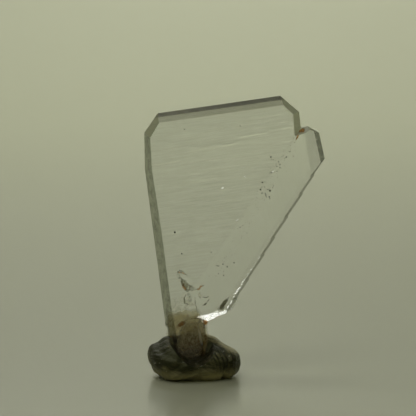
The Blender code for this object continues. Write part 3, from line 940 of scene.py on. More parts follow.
# Films: name, finish, the y of its middle, how much deeper the side to the left of its path lies for
# each millimetre, its bow, how ragged its sides are, and its path of (x, z, half width), all in mm.
FILMS = (
    ("feather_rim", "flash", -0.7, 5.0, 0.3, 0.5, (
        (-8.1, 14.5, 0.05), (-7.8, 14.66, 0.12), (-7.4, 14.6, 0.13), (-6.8, 14.25, 0.05),
    )),
    ("feather_rim_stain", "rust", -0.7, 0.5, 0.3, 0.5, (
        (-8.1, 14.45, 0.06), (-7.75, 14.45, 0.1), (-7.3, 14.35, 0.08), (-6.6, 13.95, 0.04),
    )),
    ("feather_crack", "gas", -0.5, 0.6, 0.2, 0.5, (
        (-8.05, 14.5, 0.1), (-7.6, 13.6, 0.25), (-7.1, 12.9, 0.42), (-6.5, 12.35, 0.55),
        (-6.1, 12.15, 0.4), (-5.5, 12.05, 0.2),
    )),
    ("feather_side", "rust", -0.4, 0.5, 0.2, 0.5, (
        (-7.45, 13.2, 0.12), (-7.0, 12.2, 0.2), (-6.75, 11.9, 0.16),
    )),
    ("feather_curl", "rust", -0.7, -0.6, 0.4, 0.5, (
        (-5.65, 12.0, 0.06), (-5.08, 12.1, 0.15), (-4.8, 12.45, 0.13), (-4.3, 12.6, 0.05),
    )),
    ("feather_loop_left", "gas", -0.6, 0.4, 0.0, 0.5, (
        (-6.75, 11.6, 0.05), (-7.05, 10.9, 0.1), (-7.02, 10.2, 0.1), (-6.3, 9.9, 0.07),
    )),
    ("feather_loop_inner", "bright", -0.5, 0.3, 0.2, 0.5, (
        (-6.6, 11.55, 0.18), (-6.35, 11.0, 0.3), (-6.2, 10.2, 0.22),
    )),
    ("feather_line", "gas", -0.5, 0.3, 0.0, 0.5, (
        (-5.6, 11.1, 0.05), (-5.58, 10.0, 0.08), (-5.4, 9.6, 0.05), (-5.2, 8.2, 0.05),
    )),
    ("feather_loop_right", "gas", -0.8, 0.3, 0.0, 0.5, (
        (-4.7, 11.0, 0.05), (-4.1, 10.88, 0.09), (-3.7, 11.1, 0.05),
    )),
    ("feather_loop_low", "gas", -0.8, 0.5, 0.0, 0.5, (
        (-3.6, 10.8, 0.05), (-4.2, 10.0, 0.13), (-4.65, 9.8, 0.08),
    )),
    ("feather_patch", "pale", -0.6, 0.3, 0.2, 0.5, (
        (-5.0, 11.7, 0.1), (-4.95, 11.2, 0.2), (-4.85, 10.7, 0.12),
    )),
    ("break_sliver", "dark", -0.8, 0.6, 0.3, 0.5, (
        (-0.9, 11.0, 0.03), (-1.35, 10.4, 0.25), (-1.7, 9.9, 0.4), (-2.15, 9.35, 0.36),
        (-2.6, 8.85, 0.1),
    )),
    ("break_streak", "rust", 0.2, 0.2, 0.0, 0.5, (
        (-2.85, 8.0, 0.04), (-2.2, 8.3, 0.1), (-1.5, 8.62, 0.04),
    )),
    # An open crack at the chip, painted white as the pale highlight that the chipped edge shows.
    ("break_chip", "bright", -0.9, 0.4, 0.3, 0.5, (
        (-0.95, 8.9, 0.05), (-0.45, 9.5, 0.16), (-0.1, 10.3, 0.16), (0.5, 11.3, 0.05),
    )),
    ("stem_arch", "gas", -0.9, 0.5, 0.0, 0.5, (
        (-7.2, 7.85, 0.05), (-5.7, 8.1, 0.08), (-4.85, 8.0, 0.08), (-4.3, 7.7, 0.05),
    )),
    # A healed crack, painted near-white as a highlight.
    ("stem_streak", "healed", -1.45, 0.4, 0.0, 0.2, (
        (-5.35, 7.4, 0.12), (-5.1, 6.3, 0.2), (-4.9, 5.2, 0.24), (-4.6, 4.1, 0.14),
    )),
    ("stem_stain", "rust", -1.2, 0.4, 0.1, 0.5, (
        (-8.1, 7.0, 0.15), (-7.5, 7.45, 0.35), (-6.9, 7.8, 0.15),
    )),
    ("stem_stain_right", "rust", -1.2, 0.4, 0.1, 0.5, (
        (-4.6, 7.75, 0.2), (-4.2, 7.5, 0.4), (-3.9, 7.3, 0.2),
    )),
    ("notch_stain", "rust", -0.85, 0.3, 0.0, 0.5, (
        (8.55, 32.85, 0.12), (8.8, 33.15, 0.3), (9.1, 33.4, 0.34), (9.4, 33.7, 0.12),
    )),
    ("notch_crack", "rust", -0.5, 0.3, 0.0, 0.5, (
        (8.15, 32.0, 0.05), (8.35, 32.4, 0.12), (8.6, 32.95, 0.12),
    )),
    ("root_cloud", "cloud", -0.1, 0.0, 0.1, 0.1, (
        (-7.6, 11.2, 1.2), (-7.3, 9.4, 2.2), (-6.9, 7.6, 2.7), (-6.6, 5.4, 2.7), (-6.3, 1.2, 2.3),
    )),
    ("root_stain", "stain", -1.1, 0.03, -0.05, 0.1, (
        (-6.2, 8.6, 1.3), (-5.8, 6.6, 2.1), (-5.95, 4.6, 2.4), (-6.1, 1.2, 2.2),
    )),
)
ROOT_TOP = 0.0095  # heights, in metres, between which the cloudy root turns brown
ROOT_LOW = 0.003
FILM_STEPS = 48
FILM_ACROSS = 12
FILM_THICK = 0.012
FILM_PROBE = 0.02  # share of a film's length over which its direction is taken
FILM_WORN = (9, 0.6)  # how fast the noise that frays a film changes along and across it
FILM_FADE = 0.35  # share of a film's half width, and of its length, over which it thins out

# Places in mm of grains in the first individual, and of bright flakes near the twin plane.
GRAINS = (
    (-8.33, -0.6, 19.88),
    (-7.43, -0.9, 16.97),
    (-1.77, -0.4, 15.38),
    (0.55, -0.7, 34.1),
    (-7.0, -0.5, 33.7),
    (4.78, -0.3, 29.81),
    (6.83, -0.8, 29.81),
    (6.01, -0.5, 28.4),
    (3.55, -0.2, 24.86),
    (4.64, -0.6, 25.27),
    (4.5, -0.9, 24.45),
    (0.55, -0.5, 20.37),
    (3.6, -0.4, 26.4),
)
FLAKES = (
    (1.23, -0.8, 27.24),
    (5.05, -0.5, 27.85),
    (0.14, -0.6, 21.32),
    (-1.83, -0.7, 25.7),
)
VEIL_TOP = Vector((8.3, 0.0, 32.6))
VEIL_LOW = Vector((-3.8, 0.0, 12.2))
VEIL_COUNT = 110
VEIL_RADII = (0.02, 0.07)
VEIL_SHARE = (1.1, 1.5)  # shape of the spread from its top to its low end
VEIL_SPREAD = (0.45, 0.35, 0.35)
VEIL_FORWARD = (0, 0.45, 0)
VEIL_DEPTH = (-1.4, 0.5)
GRAIN_RADII = (0.1, 0.17)
FLAKE_RADII = (0.2, 0.3)
# Swarms of grains along the twin plane: middle (x, z), spread (x, z) in mm, and how many.
SWARMS = (((4.2, 25.5), (0.5, 0.8), 13), ((5.8, 28.7), (0.8, 0.8), 8), ((-2.0, 15.0), (0.9, 1.2), 8))
SWARM_DEPTH = (-1.2, -0.3)
SWARM_RADII = (0.05, 0.12)
# Chips that flash, on a path of (x, z) along the break and the long edge, all in mm.
CHIPPED_EDGE = ((-1.05, 9.3), (-0.6, 10.0), (-0.15, 11.0), (0.5, 12.1), (1.3, 13.3), (4.1, 17.1))
CHIP_COUNT = 60
CHIP_SWAY = 0.05
CHIP_DEPTH = (-0.9, 0.1)
CHIP_RADII = (0.12, 0.26)
FLAKE_LIE = (-0.2, -0.14, 0.97)  # across it they lie, so that they flash the light behind and above
FLAKE_SWAY = 0.02


def make_film(name, material, depth, slant, bow, ragged, path):
    """A thin film that fills a crack in the crystal, along a path that gives its width."""
    deselect()
    bpy.ops.mesh.primitive_grid_add(x_subdivisions=FILM_STEPS, y_subdivisions=FILM_ACROSS, size=1.0)
    film = added(name)
    grid = points_of(film)
    run, side = grid[:, 0] + 0.5, grid[:, 1] * 2
    stops = np.linspace(0, 1, len(path))
    x, z, half = (np.interp(run, stops, [point[k] for point in path]) for k in range(3))
    ahead = np.clip(run + FILM_PROBE, 0, 1)
    behind = np.clip(run - FILM_PROBE, 0, 1)
    along = np.stack(
        [np.interp(ahead, stops, column) - np.interp(behind, stops, column) for column in zip(*path)], 1
    )
    along /= np.linalg.norm(along[:, :2], axis=1)[:, None]
    # The length of its name starts the noise, so that films with names of one length fray alike.
    frayed = np.stack([run * FILM_WORN[0], side * FILM_WORN[1], 0 * run], 1)
    worn = noise_at(frayed, 1.0, 2.0 * len(name))
    reach = half * side * (1 + ragged * worn)
    x, z = x - along[:, 1] * reach, z + along[:, 0] * reach
    y = depth + slant * reach + bow * (1 - side**2) * half
    move_points(film, np.stack([x, y, z], 1))
    ends = np.clip(np.minimum(run, 1 - run) / FILM_FADE, 0, 1)
    cover = film.data.attributes.new("cover", "FLOAT", "POINT")
    cover.data.foreach_set("value", ends * np.clip((1 - abs(side)) / FILM_FADE, 0, 1))
    wall = film.modifiers.new("wall", "SOLIDIFY")
    wall.thickness = FILM_THICK
    wall.offset = 0.0
    bpy.ops.object.modifier_apply(modifier=wall.name)
    bpy.ops.object.mode_set(mode="EDIT")
    face_outwards()
    finish_piece(film, None, [material], 60)


def make_films(colours):
    """The cracks, stains and veils, each kind of film with its own finish."""
    dark, glint = colours.crack_shade, colours.glint
    finishes = {
        # Dull grey patches: painted shade, where gas fills a crack.
        "gas": film_material("gas film in a crack", dark, (0.38, 0.55), 0.75, 0.3, 0.35),
        # Nearly whole and dark: painted shade, where the open crack turns the light away.
        "dark": film_material("open crack, turned dark", dark, (0.15, 0.4), 0.9, 0.5, 0.3),
        # Thin orange-brown patches with soft edges.
        "rust": film_material("goethite film in a crack", colours.rust, (0.3, 0.5), 0.95, 0.25, 0.6),
        # A faint whitish haze.
        "pale": film_material("veil of fluid inclusions", colours.milky, (0.35, 0.6), 0.8, 0.3, 0.6),
        # A pale streak with hardly any gaps, painted near-white as a highlight.
        "healed": film_material("healed crack", colours.healed, (0.1, 0.3), 1.0, 0.3, 0.7),
        # White specks where light falls on it.
        "bright": film_material("open crack, bright", glint, (0.36, 0.5), 0.9, 0.4, 0.5),
        # It mirrors a light, and is dark where it mirrors none.
        "flash": film_material("open crack, mirror bright", glint, (0.3, 0.45), 0.9, 0.3, 0.2, 1.0),
        # The milky cloud that fills the root, and the browner one in front of it.
        "cloud": cloud_material(colours, 0.6, 0.85),
        "stain": cloud_material(colours, 0.2, 0.75),
    }
    for name, finish, *shape in FILMS:
        make_film(name, finishes[finish], *shape)


def make_veil(name, seed, material):
    """A faint trail of specks along the twin plane."""
    random = np.random.default_rng(seed)
    share = random.beta(*VEIL_SHARE, VEIL_COUNT)[:, None]
    places = np.array(VEIL_TOP) + share * (np.array(VEIL_LOW) - np.array(VEIL_TOP))
    places += random.normal(0, 1, (VEIL_COUNT, 3)) * VEIL_SPREAD - VEIL_FORWARD
    places[:, 1] = np.clip(places[:, 1], *VEIL_DEPTH)
    radii = np.exp(random.uniform(*np.log(VEIL_RADII), VEIL_COUNT))
    places = [tuple(place) for place in places]
    veil = scatter(name, places, radii, SPECK_FLATNESS, seed + 20)
    finish_piece(veil, None, [material], 20)


def make_grains(colours):
    """The dark grains and their swarms, the flakes, the chips at the long edge, and the veil."""
    dark = grain_material("goethite grain", colours.grain_dark, 0.45)
    bright = grain_material("flake with a gas skin", colours.glint, 0.15, 1.0)
    random = np.random.default_rng(5)
    places, radii = list(GRAINS), list(random.uniform(*GRAIN_RADII, len(GRAINS)))
    for middle, spread, count in SWARMS:
        x, z = random.normal(middle, spread, (count, 2)).T
        places += list(zip(x, random.uniform(*SWARM_DEPTH, count), z))
        radii += list(random.uniform(*SWARM_RADII, count))
    grains = scatter("dark_grains", places, radii, GRAIN_FLATNESS, 6)
    finish_piece(grains, None, [dark], 20)
    radii = random.uniform(*FLAKE_RADII, len(FLAKES))
    flakes = scatter("bright_flakes", FLAKES, radii, FLAKE_FLATNESS, 7, FLAKE_LIE)
    finish_piece(flakes, None, [bright], 20)
    run = np.sort(random.uniform(0, len(CHIPPED_EDGE) - 1, CHIP_COUNT))
    x, z = (np.interp(run, range(len(CHIPPED_EDGE)), column) for column in zip(*CHIPPED_EDGE))
    x, z = (line + random.normal(0, CHIP_SWAY, CHIP_COUNT) for line in (x, z))
    places = list(zip(x, random.uniform(*CHIP_DEPTH, CHIP_COUNT), z))
    radii = random.uniform(*CHIP_RADII, CHIP_COUNT)
    chips = scatter("edge_chips", places, radii, CHIP_FLATNESS, 17, FLAKE_LIE)
    finish_piece(chips, None, [bright], 20)
    make_veil("veil_dark", 8, dark)
    make_veil("veil_bright", 9, bright)


# ---------------------------------------------------------------- materials

QUARTZ_IOR = 1.544
STREAK_SHADE_RANGE = (0.36, 0.6)  # noise levels from the darkest painted shade in the streaks to the clear face


def new_material(name):
    """A material, its node tree and its shader."""
    material = bpy.data.materials.new(name)
    material.use_nodes = True
    tree = material.node_tree
    return material, tree, tree.nodes["Principled BSDF"]


def quartz_material(tint, surface, roughness, lean_deg, grain, worn, clear=1.0):
    """Rock crystal: clear, with hardly any colour of its own, as glossy as its surface leaves it.

    The grain is (length, breadth, relief) in mm, and its length runs across the c axis. Where it is
    deepest its colour is darker by the worn share: painted shade, which leaves the face streaked or
    mottled.
    """
    material, tree, shader = new_material(f"rock crystal, {surface}")
    shader.inputs["Roughness"].default_value = roughness
    shader.inputs["IOR"].default_value = QUARTZ_IOR
    shader.inputs["Transmission Weight"].default_value = clear
    length, breadth, height = (value * TO_METRES for value in grain)
    place = add_node(tree, "ShaderNodeTexCoord")
    turned = add_node(
        tree,
        "ShaderNodeMapping",
        {"Rotation": (0.0, math.radians(lean_deg), 0.0), "Scale": (length, length, breadth)},
        {"Vector": place.outputs["Object"]},
        vector_type="TEXTURE",
    )
    steps = add_node(
        tree,
        "ShaderNodeTexNoise",
        {"Scale": 1.0, "Detail": 4.0, "Roughness": 0.6},
        {"Vector": turned.outputs["Vector"]},
    )
    bump = add_node(
        tree, "ShaderNodeBump", {"Distance": height}, {"Height": steps.outputs["Fac"]}
    )
    tree.links.new(bump.outputs["Normal"], shader.inputs["Normal"])
    # Painted shade: the colour is darker where the grain is deepest, by the worn share.
    passed = add_node(tree, "ShaderNodeValToRGB", links={"Fac": steps.outputs["Fac"]})
    clearest = linear(tint)
    deepest, shallow = passed.color_ramp.elements
    deepest.position, shallow.position = STREAK_SHADE_RANGE
    deepest.color = [part * (1 - worn) for part in clearest[:3]] + [1.0]
    shallow.color = clearest
    tree.links.new(passed.outputs["Color"], shader.inputs["Base Color"])
    return material


def film_material(name, colour, edges, cover, patch, roughness, metallic=0.0):
    """A film in a crack: it covers in patches, with clear quartz between them.

    The edges are the noise levels between which a patch fades, cover is how opaque it is at most,
    and patch is its size in mm.
    """
    material, tree, shader = new_material(name)
    shader.inputs["Base Color"].default_value = linear(colour)
    shader.inputs["Roughness"].default_value = roughness
    shader.inputs["Metallic"].default_value = metallic
    shader.inputs["IOR"].default_value = 1.05
    shader.inputs["Transmission Weight"].default_value = 0.75
    place = add_node(tree, "ShaderNodeTexCoord")
    patches = add_node(
        tree,
        "ShaderNodeTexNoise",
        {"Scale": 1 / (patch * TO_METRES), "Detail": 4.0, "Roughness": 0.65},
        {"Vector": place.outputs["Object"]},
    )
    level = add_node(
        tree,
        "ShaderNodeMapRange",
        {"From Min": edges[0], "From Max": edges[1], "To Min": 0.0, "To Max": cover},
        {"Value": patches.outputs["Fac"]},
    )
    tapered = add_node(tree, "ShaderNodeAttribute", attribute_name="cover")
    faded = add_node(
        tree,
        "ShaderNodeMath",
        links={0: level.outputs["Result"], 1: tapered.outputs["Fac"]},
        operation="MULTIPLY",
    )
    tree.links.new(faded.outputs["Value"], shader.inputs["Alpha"])
    return material


def cloud_material(colours, clear, dense):
    """Cloudy quartz of the root: a milky veil that turns brown and mottled towards the tack.

    Clear is the share of the light that it lets through, and dense is how opaque it is at most.
    """
    material, tree, shader = new_material("cloudy root, healed cracks")
    shader.inputs["Roughness"].default_value = 0.6
    shader.inputs["IOR"].default_value = 1.02
    shader.inputs["Transmission Weight"].default_value = clear
    place = add_node(tree, "ShaderNodeTexCoord")
    split = add_node(tree, "ShaderNodeSeparateXYZ", links={"Vector": place.outputs["Object"]})
    wisps = add_node(
        tree,
        "ShaderNodeTexNoise",
        {"Scale": 1 / (1.4 * TO_METRES), "Detail": 5.0, "Roughness": 0.65},
        {"Vector": place.outputs["Object"]},
    )
    depth = add_node(
        tree,
        "ShaderNodeMapRange",
        {"From Min": ROOT_TOP, "From Max": ROOT_LOW, "To Min": 0.0, "To Max": 1.0},
        {"Value": split.outputs["Z"]},
    )
    mixed = add_node(
        tree,
        "ShaderNodeMath",
        {1: 0.6},
        {0: wisps.outputs["Fac"], 2: depth.outputs["Result"]},
        operation="MULTIPLY_ADD",
    )
    mottle = add_node(
        tree,
        "ShaderNodeTexNoise",
        {"Scale": 1 / (0.55 * TO_METRES), "Detail": 4.0, "Roughness": 0.7, "Distortion": 0.8},
        {"Vector": place.outputs["Object"]},
    )
    uneven = add_node(
        tree,
        "ShaderNodeMath",
        {1: 3.4, 2: -1.7},
        {0: mottle.outputs["Fac"]},
        operation="MULTIPLY_ADD",
    )
    share = add_node(
        tree, "ShaderNodeMath", links={0: depth.outputs["Result"], 1: uneven.outputs["Value"]}
    )
    tint = add_node(tree, "ShaderNodeValToRGB", links={"Fac": share.outputs["Value"]})
    tint.color_ramp.elements[0].position = 0.2
    tint.color_ramp.elements[0].color = linear(colours.milky_root)
    tint.color_ramp.elements[1].color = linear(colours.brown_root)
    cloudy = add_node(
        tree,
        "ShaderNodeMapRange",
        {"From Min": 0.25, "From Max": 0.5, "To Min": 0.0, "To Max": dense},
        {"Value": mixed.outputs["Value"]},
    )
    cover = add_node(tree, "ShaderNodeAttribute", attribute_name="cover")
    faded = add_node(
        tree,
        "ShaderNodeMath",
        links={0: cloudy.outputs["Result"], 1: cover.outputs["Fac"]},
        operation="MULTIPLY",
    )
    tree.links.new(tint.outputs["Color"], shader.inputs["Base Color"])
    tree.links.new(faded.outputs["Value"], shader.inputs["Alpha"])
    return material


def grain_material(name, colour, roughness, metallic=0.0):
    """A small grain with a pitted skin: goethite is dull and nearly black, a gas skin mirrors."""
    material, tree, shader = new_material(name)
    place = add_node(tree, "ShaderNodeTexCoord")
    mottle = add_node(
        tree,
        "ShaderNodeTexNoise",
        {"Scale": 1 / (0.06 * TO_METRES), "Detail": 2.0},
        {"Vector": place.outputs["Object"]},
    )
    bump = add_node(
        tree, "ShaderNodeBump", {"Distance": 0.00001}, {"Height": mottle.outputs["Fac"]}
    )
    tree.links.new(bump.outputs["Normal"], shader.inputs["Normal"])
    shader.inputs["Base Color"].default_value = linear(colour)
    shader.inputs["Roughness"].default_value = roughness
    shader.inputs["Metallic"].default_value = metallic
    return material


# Painted light on the foot of the lump, in place of the light that the floor bounces onto it: how
# strong it is at each share of the reach, which is a height in mm, and the place, in metres, around
# which it is strongest.
FOOT_LIGHT_CURVE = ((0.0, 0.75), (0.12, 0.55), (0.26, 0.18), (0.42, 0.0), (1.0, 0.0))
FOOT_LIGHT_REACH = 6.0
FOOT_LIGHT_MIDDLE = (-0.0045, -0.005, 0.0)


def tack_material(colours):
    """Mineral tack, kneaded and pinched by hand: a dark, oily putty.

    Dust worked into it gives it paler olive veins. Its foot is painted paler, as painted light for
    what the floor bounces onto it; its upper right rim and ridge crests are painted highlights; and
    the oil leaves a dull gloss on its rims.
    """
    material, tree, shader = new_material("mineral tack, pinched by hand")
    place = add_node(tree, "ShaderNodeTexCoord")
    streaks = add_node(
        tree,
        "ShaderNodeMapping",
        {"Rotation": (0.0, 0.35, 0.2), "Scale": (1.6 * TO_METRES, 1.2 * TO_METRES, 0.28 * TO_METRES)},
        {"Vector": place.outputs["Object"]},
        vector_type="TEXTURE",
    )
    veins = add_node(
        tree,
        "ShaderNodeTexNoise",
        {"Scale": 1.0, "Detail": 6.0, "Roughness": 0.62, "Distortion": 1.2},
        {"Vector": streaks.outputs["Vector"]},
    )
    blotches = add_node(
        tree,
        "ShaderNodeTexNoise",
        {"Scale": 1 / (2.2 * TO_METRES), "Detail": 3.0},
        {"Vector": place.outputs["Object"]},
    )
    split = add_node(tree, "ShaderNodeSeparateXYZ", links={"Vector": place.outputs["Object"]})
    crest = add_node(tree, "ShaderNodeAttribute", attribute_name="crest")
    level = add_node(
        tree,
        "ShaderNodeMath",
        links={0: veins.outputs["Fac"], 1: blotches.outputs["Fac"]},
        operation="MULTIPLY",
    )
    height = add_node(
        tree,
        "ShaderNodeMapRange",
        {"From Min": 0.0, "From Max": FOOT_LIGHT_REACH * TO_METRES},
        {"Value": split.outputs["Z"]},
    )
    # Painted light: the foot is paler towards the bottom, for the light that the floor bounces onto it.
    dusty = add_node(tree, "ShaderNodeFloatCurve", links={"Value": height.outputs["Result"]})
    curve = dusty.mapping.curves[0]
    for place_up, share in FOOT_LIGHT_CURVE[1:-1]:
        curve.points.new(place_up, share)
    curve.points[0].location, curve.points[-1].location = FOOT_LIGHT_CURVE[0], FOOT_LIGHT_CURVE[-1]
    dusty.mapping.update()
    # Painted highlight: raised kneading lumps and finger ridges are paler, on top of the tack's own
    # dusty veins.
    raised = add_node(
        tree,
        "ShaderNodeMath",
        {1: 0.7},
        {0: crest.outputs["Fac"], 2: level.outputs["Value"]},
        operation="MULTIPLY_ADD",
    )
    # Painted highlight: the rim on the upper right is paler, as where light from above falls on it,
    # broken up by the veins.
    to_the_right = add_node(
        tree,
        "ShaderNodeVectorMath",
        {1: (0.5, 0.0, 1.0)},
        {0: place.outputs["Object"]},
        operation="DOT_PRODUCT",
    )
    patchy = add_node(
        tree,
        "ShaderNodeMapRange",
        {"From Min": 0.4, "From Max": 0.58, "To Min": 0.25, "To Max": 0.85},
        {"Value": veins.outputs["Fac"]},
    )
    rim = add_node(
        tree,
        "ShaderNodeMapRange",
        {"From Min": 3.0 * TO_METRES, "From Max": 3.5 * TO_METRES},
        {"Value": to_the_right.outputs["Value"], "To Max": patchy.outputs["Result"]},
    )
    from_front = add_node(
        tree,
        "ShaderNodeVectorMath",
        {1: FOOT_LIGHT_MIDDLE},
        {0: place.outputs["Object"]},
        operation="DISTANCE",
    )
    # Painted light, strongest near the front of the foot, which faces the lit floor in front.
    near_front = add_node(
        tree,
        "ShaderNodeMapRange",
        {"From Min": 2.0 * TO_METRES, "From Max": 5.0 * TO_METRES, "To Min": 1.2, "To Max": 0.45},
        {"Value": from_front.outputs["Value"]},
    )
    # All the painted light: on the foot, and the painted highlight on the upper right rim.
    painted_light = add_node(
        tree,
        "ShaderNodeMath",
        links={
            0: dusty.outputs["Value"],
            1: near_front.outputs["Result"],
            2: rim.outputs["Result"],
        },
        operation="MULTIPLY_ADD",
    )
    total = add_node(
        tree, "ShaderNodeMath", links={0: raised.outputs["Value"], 1: painted_light.outputs["Value"]}
    )
    tint = add_node(tree, "ShaderNodeValToRGB", links={"Fac": total.outputs["Value"]})
    tint.color_ramp.elements[0].position = 0.27
    tint.color_ramp.elements[0].color = linear(colours.tack_dark)
    tint.color_ramp.elements[1].position = 0.85
    tint.color_ramp.elements[1].color = linear(colours.tack_dust_and_painted_light)
    gloss = add_node(
        tree,
        "ShaderNodeMapRange",
        {"From Min": 0.35, "From Max": 0.65, "To Min": 0.28, "To Max": 0.55},
        {"Value": veins.outputs["Fac"]},
    )
    pits = add_node(
        tree,
        "ShaderNodeTexNoise",
        {"Scale": 1 / (0.18 * TO_METRES), "Detail": 4.0, "Roughness": 0.7},
        {"Vector": place.outputs["Object"]},
    )
    rough = add_node(
        tree, "ShaderNodeBump", {"Distance": 0.00005}, {"Height": pits.outputs["Fac"]}
    )
    drawn = add_node(
        tree,
        "ShaderNodeBump",
        {"Distance": 0.0001},
        {"Height": veins.outputs["Fac"], "Normal": rough.outputs["Normal"]},
    )
    shader.inputs["Specular IOR Level"].default_value = 0.7
    shader.inputs["Specular Tint"].default_value = linear(colours.tack_gloss)
    tree.links.new(tint.outputs["Color"], shader.inputs["Base Color"])
    tree.links.new(gloss.outputs["Result"], shader.inputs["Roughness"])
    tree.links.new(drawn.outputs["Normal"], shader.inputs["Normal"])
    return material


# ---------------------------------------------------------------- the add-on


class TwinQuartzSettings(bpy.types.PropertyGroup):
    """Sizes and colours of the specimen and its stage."""

    front_depth: bpy.props.FloatProperty(
        name="Front depth",
        description="Depth of the front face from the lateral ridges",
        default=0.00162,
        unit="LENGTH",
    )
    back_depth: bpy.props.FloatProperty(
        name="Back depth",
        description="Depth of the back face from the lateral ridges",
        default=0.00068,
        unit="LENGTH",
    )
    top_front_depth: bpy.props.FloatProperty(
        name="Top slope depth",
        description="Depth of the slope in front of the top edge",
        default=0.00095,
        unit="LENGTH",
    )
    row_spacing: bpy.props.FloatProperty(
        name="Row spacing",
        description="Distance between the rows that carry the growth ledges",
        default=0.0001,
        unit="LENGTH",
    )
    column_spacing: bpy.props.FloatProperty(
        name="Column spacing",
        description="Distance between the columns across those rows",
        default=0.00035,
        unit="LENGTH",
    )
    striation_relief: bpy.props.FloatProperty(
        name="Striation relief",
        description="Typical height of a fine growth ledge",
        default=0.0000055,
        unit="LENGTH",
    )
    quartz_tint: bpy.props.StringProperty(
        name="Quartz tint",
        description="Tint of light through the crystal, as an sRGB hex value",
        default="#FAFBF9",
    )
    # The next three tints are darker than clear quartz: painted shade for the dark bands.
    frosted_shade_tint: bpy.props.StringProperty(
        name="Frosted slope tint",
        description="Tint of the frosted slope along the top edge, as an sRGB hex value",
        default="#DCDCC4",
    )
    etched_shade_tint: bpy.props.StringProperty(
        name="Etched corner tint",
        description="Tint of the etched slopes at the corners, as an sRGB hex value",
        default="#C6C7AB",
    )
    band_shade_tint: bpy.props.StringProperty(
        name="Prism band tint",
        description="Tint of the worn prism faces along the left edge, as an sRGB hex value",
        default="#D2D6CA",
    )
    # Painted shade: dark films where a crack turns the eye towards the dark tack.
    crack_shade: bpy.props.StringProperty(
        name="Crack colour",
        description="Colour of the films in dark cracks, as an sRGB hex value",
        default="#6F6C50",
    )
    # A healed crack, whose near-white is a painted highlight for the streak of light in the stem.
    healed: bpy.props.StringProperty(
        name="Healed crack colour",
        description="Colour of the healed crack in the stem, as an sRGB hex value",
        default="#FFFAEC",
    )
    rust: bpy.props.StringProperty(
        name="Rust colour",
        description="Colour of the goethite stains, as an sRGB hex value",
        default="#BC8440",
    )
    milky: bpy.props.StringProperty(
        name="Veil colour",
        description="Colour of the milky veils, as an sRGB hex value",
        default="#D2CDB4",
    )
    glint: bpy.props.StringProperty(
        name="Glint colour",
        description="Colour of the bright flakes and cracks, as an sRGB hex value",
        default="#F2F2EA",
    )
    grain_dark: bpy.props.StringProperty(
        name="Grain colour",
        description="Colour of the dark grains, as an sRGB hex value",
        default="#2A241A",
    )
    milky_root: bpy.props.StringProperty(
        name="Upper root colour",
        description="Colour of the cloudy root near its top, as an sRGB hex value",
        default="#E6D9A8",
    )
    brown_root: bpy.props.StringProperty(
        name="Lower root colour",
        description="Colour of the cloudy root near the tack, as an sRGB hex value",
        default="#8F7444",
    )
    tack_dark: bpy.props.StringProperty(
        name="Tack colour",
        description="Colour of the tack, as an sRGB hex value",
        default="#17170D",
    )
    # Partly the dust in the veins, partly painted light on the foot, the rim and the ridge crests.
    tack_dust_and_painted_light: bpy.props.StringProperty(
        name="Tack vein colour",
        description="Colour of the dusty veins in the tack, as an sRGB hex value",
        default="#9D946B",
    )
    tack_gloss: bpy.props.StringProperty(
        name="Tack gloss colour",
        description="Tint of the oily gloss on the tack, as an sRGB hex value",
        default="#D4D79A",
    )
    backdrop_colour: bpy.props.StringProperty(
        name="Backdrop colour",
        description="Colour of the floor and backdrop, as an sRGB hex value",
        default="#A1A389",
    )
    air_colour: bpy.props.StringProperty(
        name="Studio air colour",
        description="Colour of the even light from all sides, as an sRGB hex value",
        default="#BFC0AC",
    )


class OBJECT_OT_twin_quartz_crystal(bpy.types.Operator):
    """Builds the twinned crystal"""

    bl_idname = "object.twin_quartz_crystal"
    bl_label = "Twinned Crystal"
    bl_options = {"REGISTER", "UNDO"}

    def execute(self, context):
        sizes = context.scene.twin_quartz
        first, second = FIRST_LEAN, FIRST_LEAN + JAPAN_ANGLE
        plane = FIRST_LEAN + JAPAN_ANGLE / 2
        clear, frosted = sizes.quartz_tint, sizes.frosted_shade_tint
        etched, band = sizes.etched_shade_tint, sizes.band_shade_tint
        make_crystal(
            sizes,
            [
                # Glossy, faint light and dark streaks across the c axis, partly painted shade.
                quartz_material(clear, "striated face", 0.015, first, (3.4, 0.13, 0.006), 0.11),
                # Mirror smooth, so that it can hardly be seen.
                quartz_material(clear, "smooth face", 0.01, second, (2.0, 0.3, 0.001), 0.02),
                # Dulled by growth, a soft dark band under the top edge, its tint painted shade.
                quartz_material(frosted, "frosted slope", 0.25, first, (0.8, 0.2, 0.02), 0.12, 0.85),
                # Etched matt, and darker still by a tint of painted shade.
                quartz_material(etched, "etched corner", 0.3, first, (0.8, 0.2, 0.02), 0.15, 0.75),
                # Satin and wavy, a mottled dark band of painted shade.
                quartz_material(band, "prism band", 0.12, first, (0.5, 0.9, 0.05), 0.45, 0.95),
                # A little duller than the face beside it, with faint painted shade.
                quartz_material(clear, "slope at the tip", 0.05, second, (0.8, 0.15, 0.006), 0.1),
                # Finely stepped, dashed light and dark, the dark partly painted shade.
                quartz_material(clear, "stepped long edge", 0.06, plane, (0.15, 0.5, 0.06), 0.6),
                # Ripples like a shell's, which catch the light, and darker ones of painted shade.
                quartz_material(clear, "conchoidal break", 0.06, first, (0.7, 0.2, 0.14), 0.3),
            ],
        )
        return {"FINISHED"}


class OBJECT_OT_twin_quartz_inclusions(bpy.types.Operator):
    """Builds the cracks, veils, stains and grains inside the crystal"""

    bl_idname = "object.twin_quartz_inclusions"
    bl_label = "Cracks and Inclusions"
    bl_options = {"REGISTER", "UNDO"}

    def execute(self, context):
        make_films(context.scene.twin_quartz)
        make_grains(context.scene.twin_quartz)
        return {"FINISHED"}


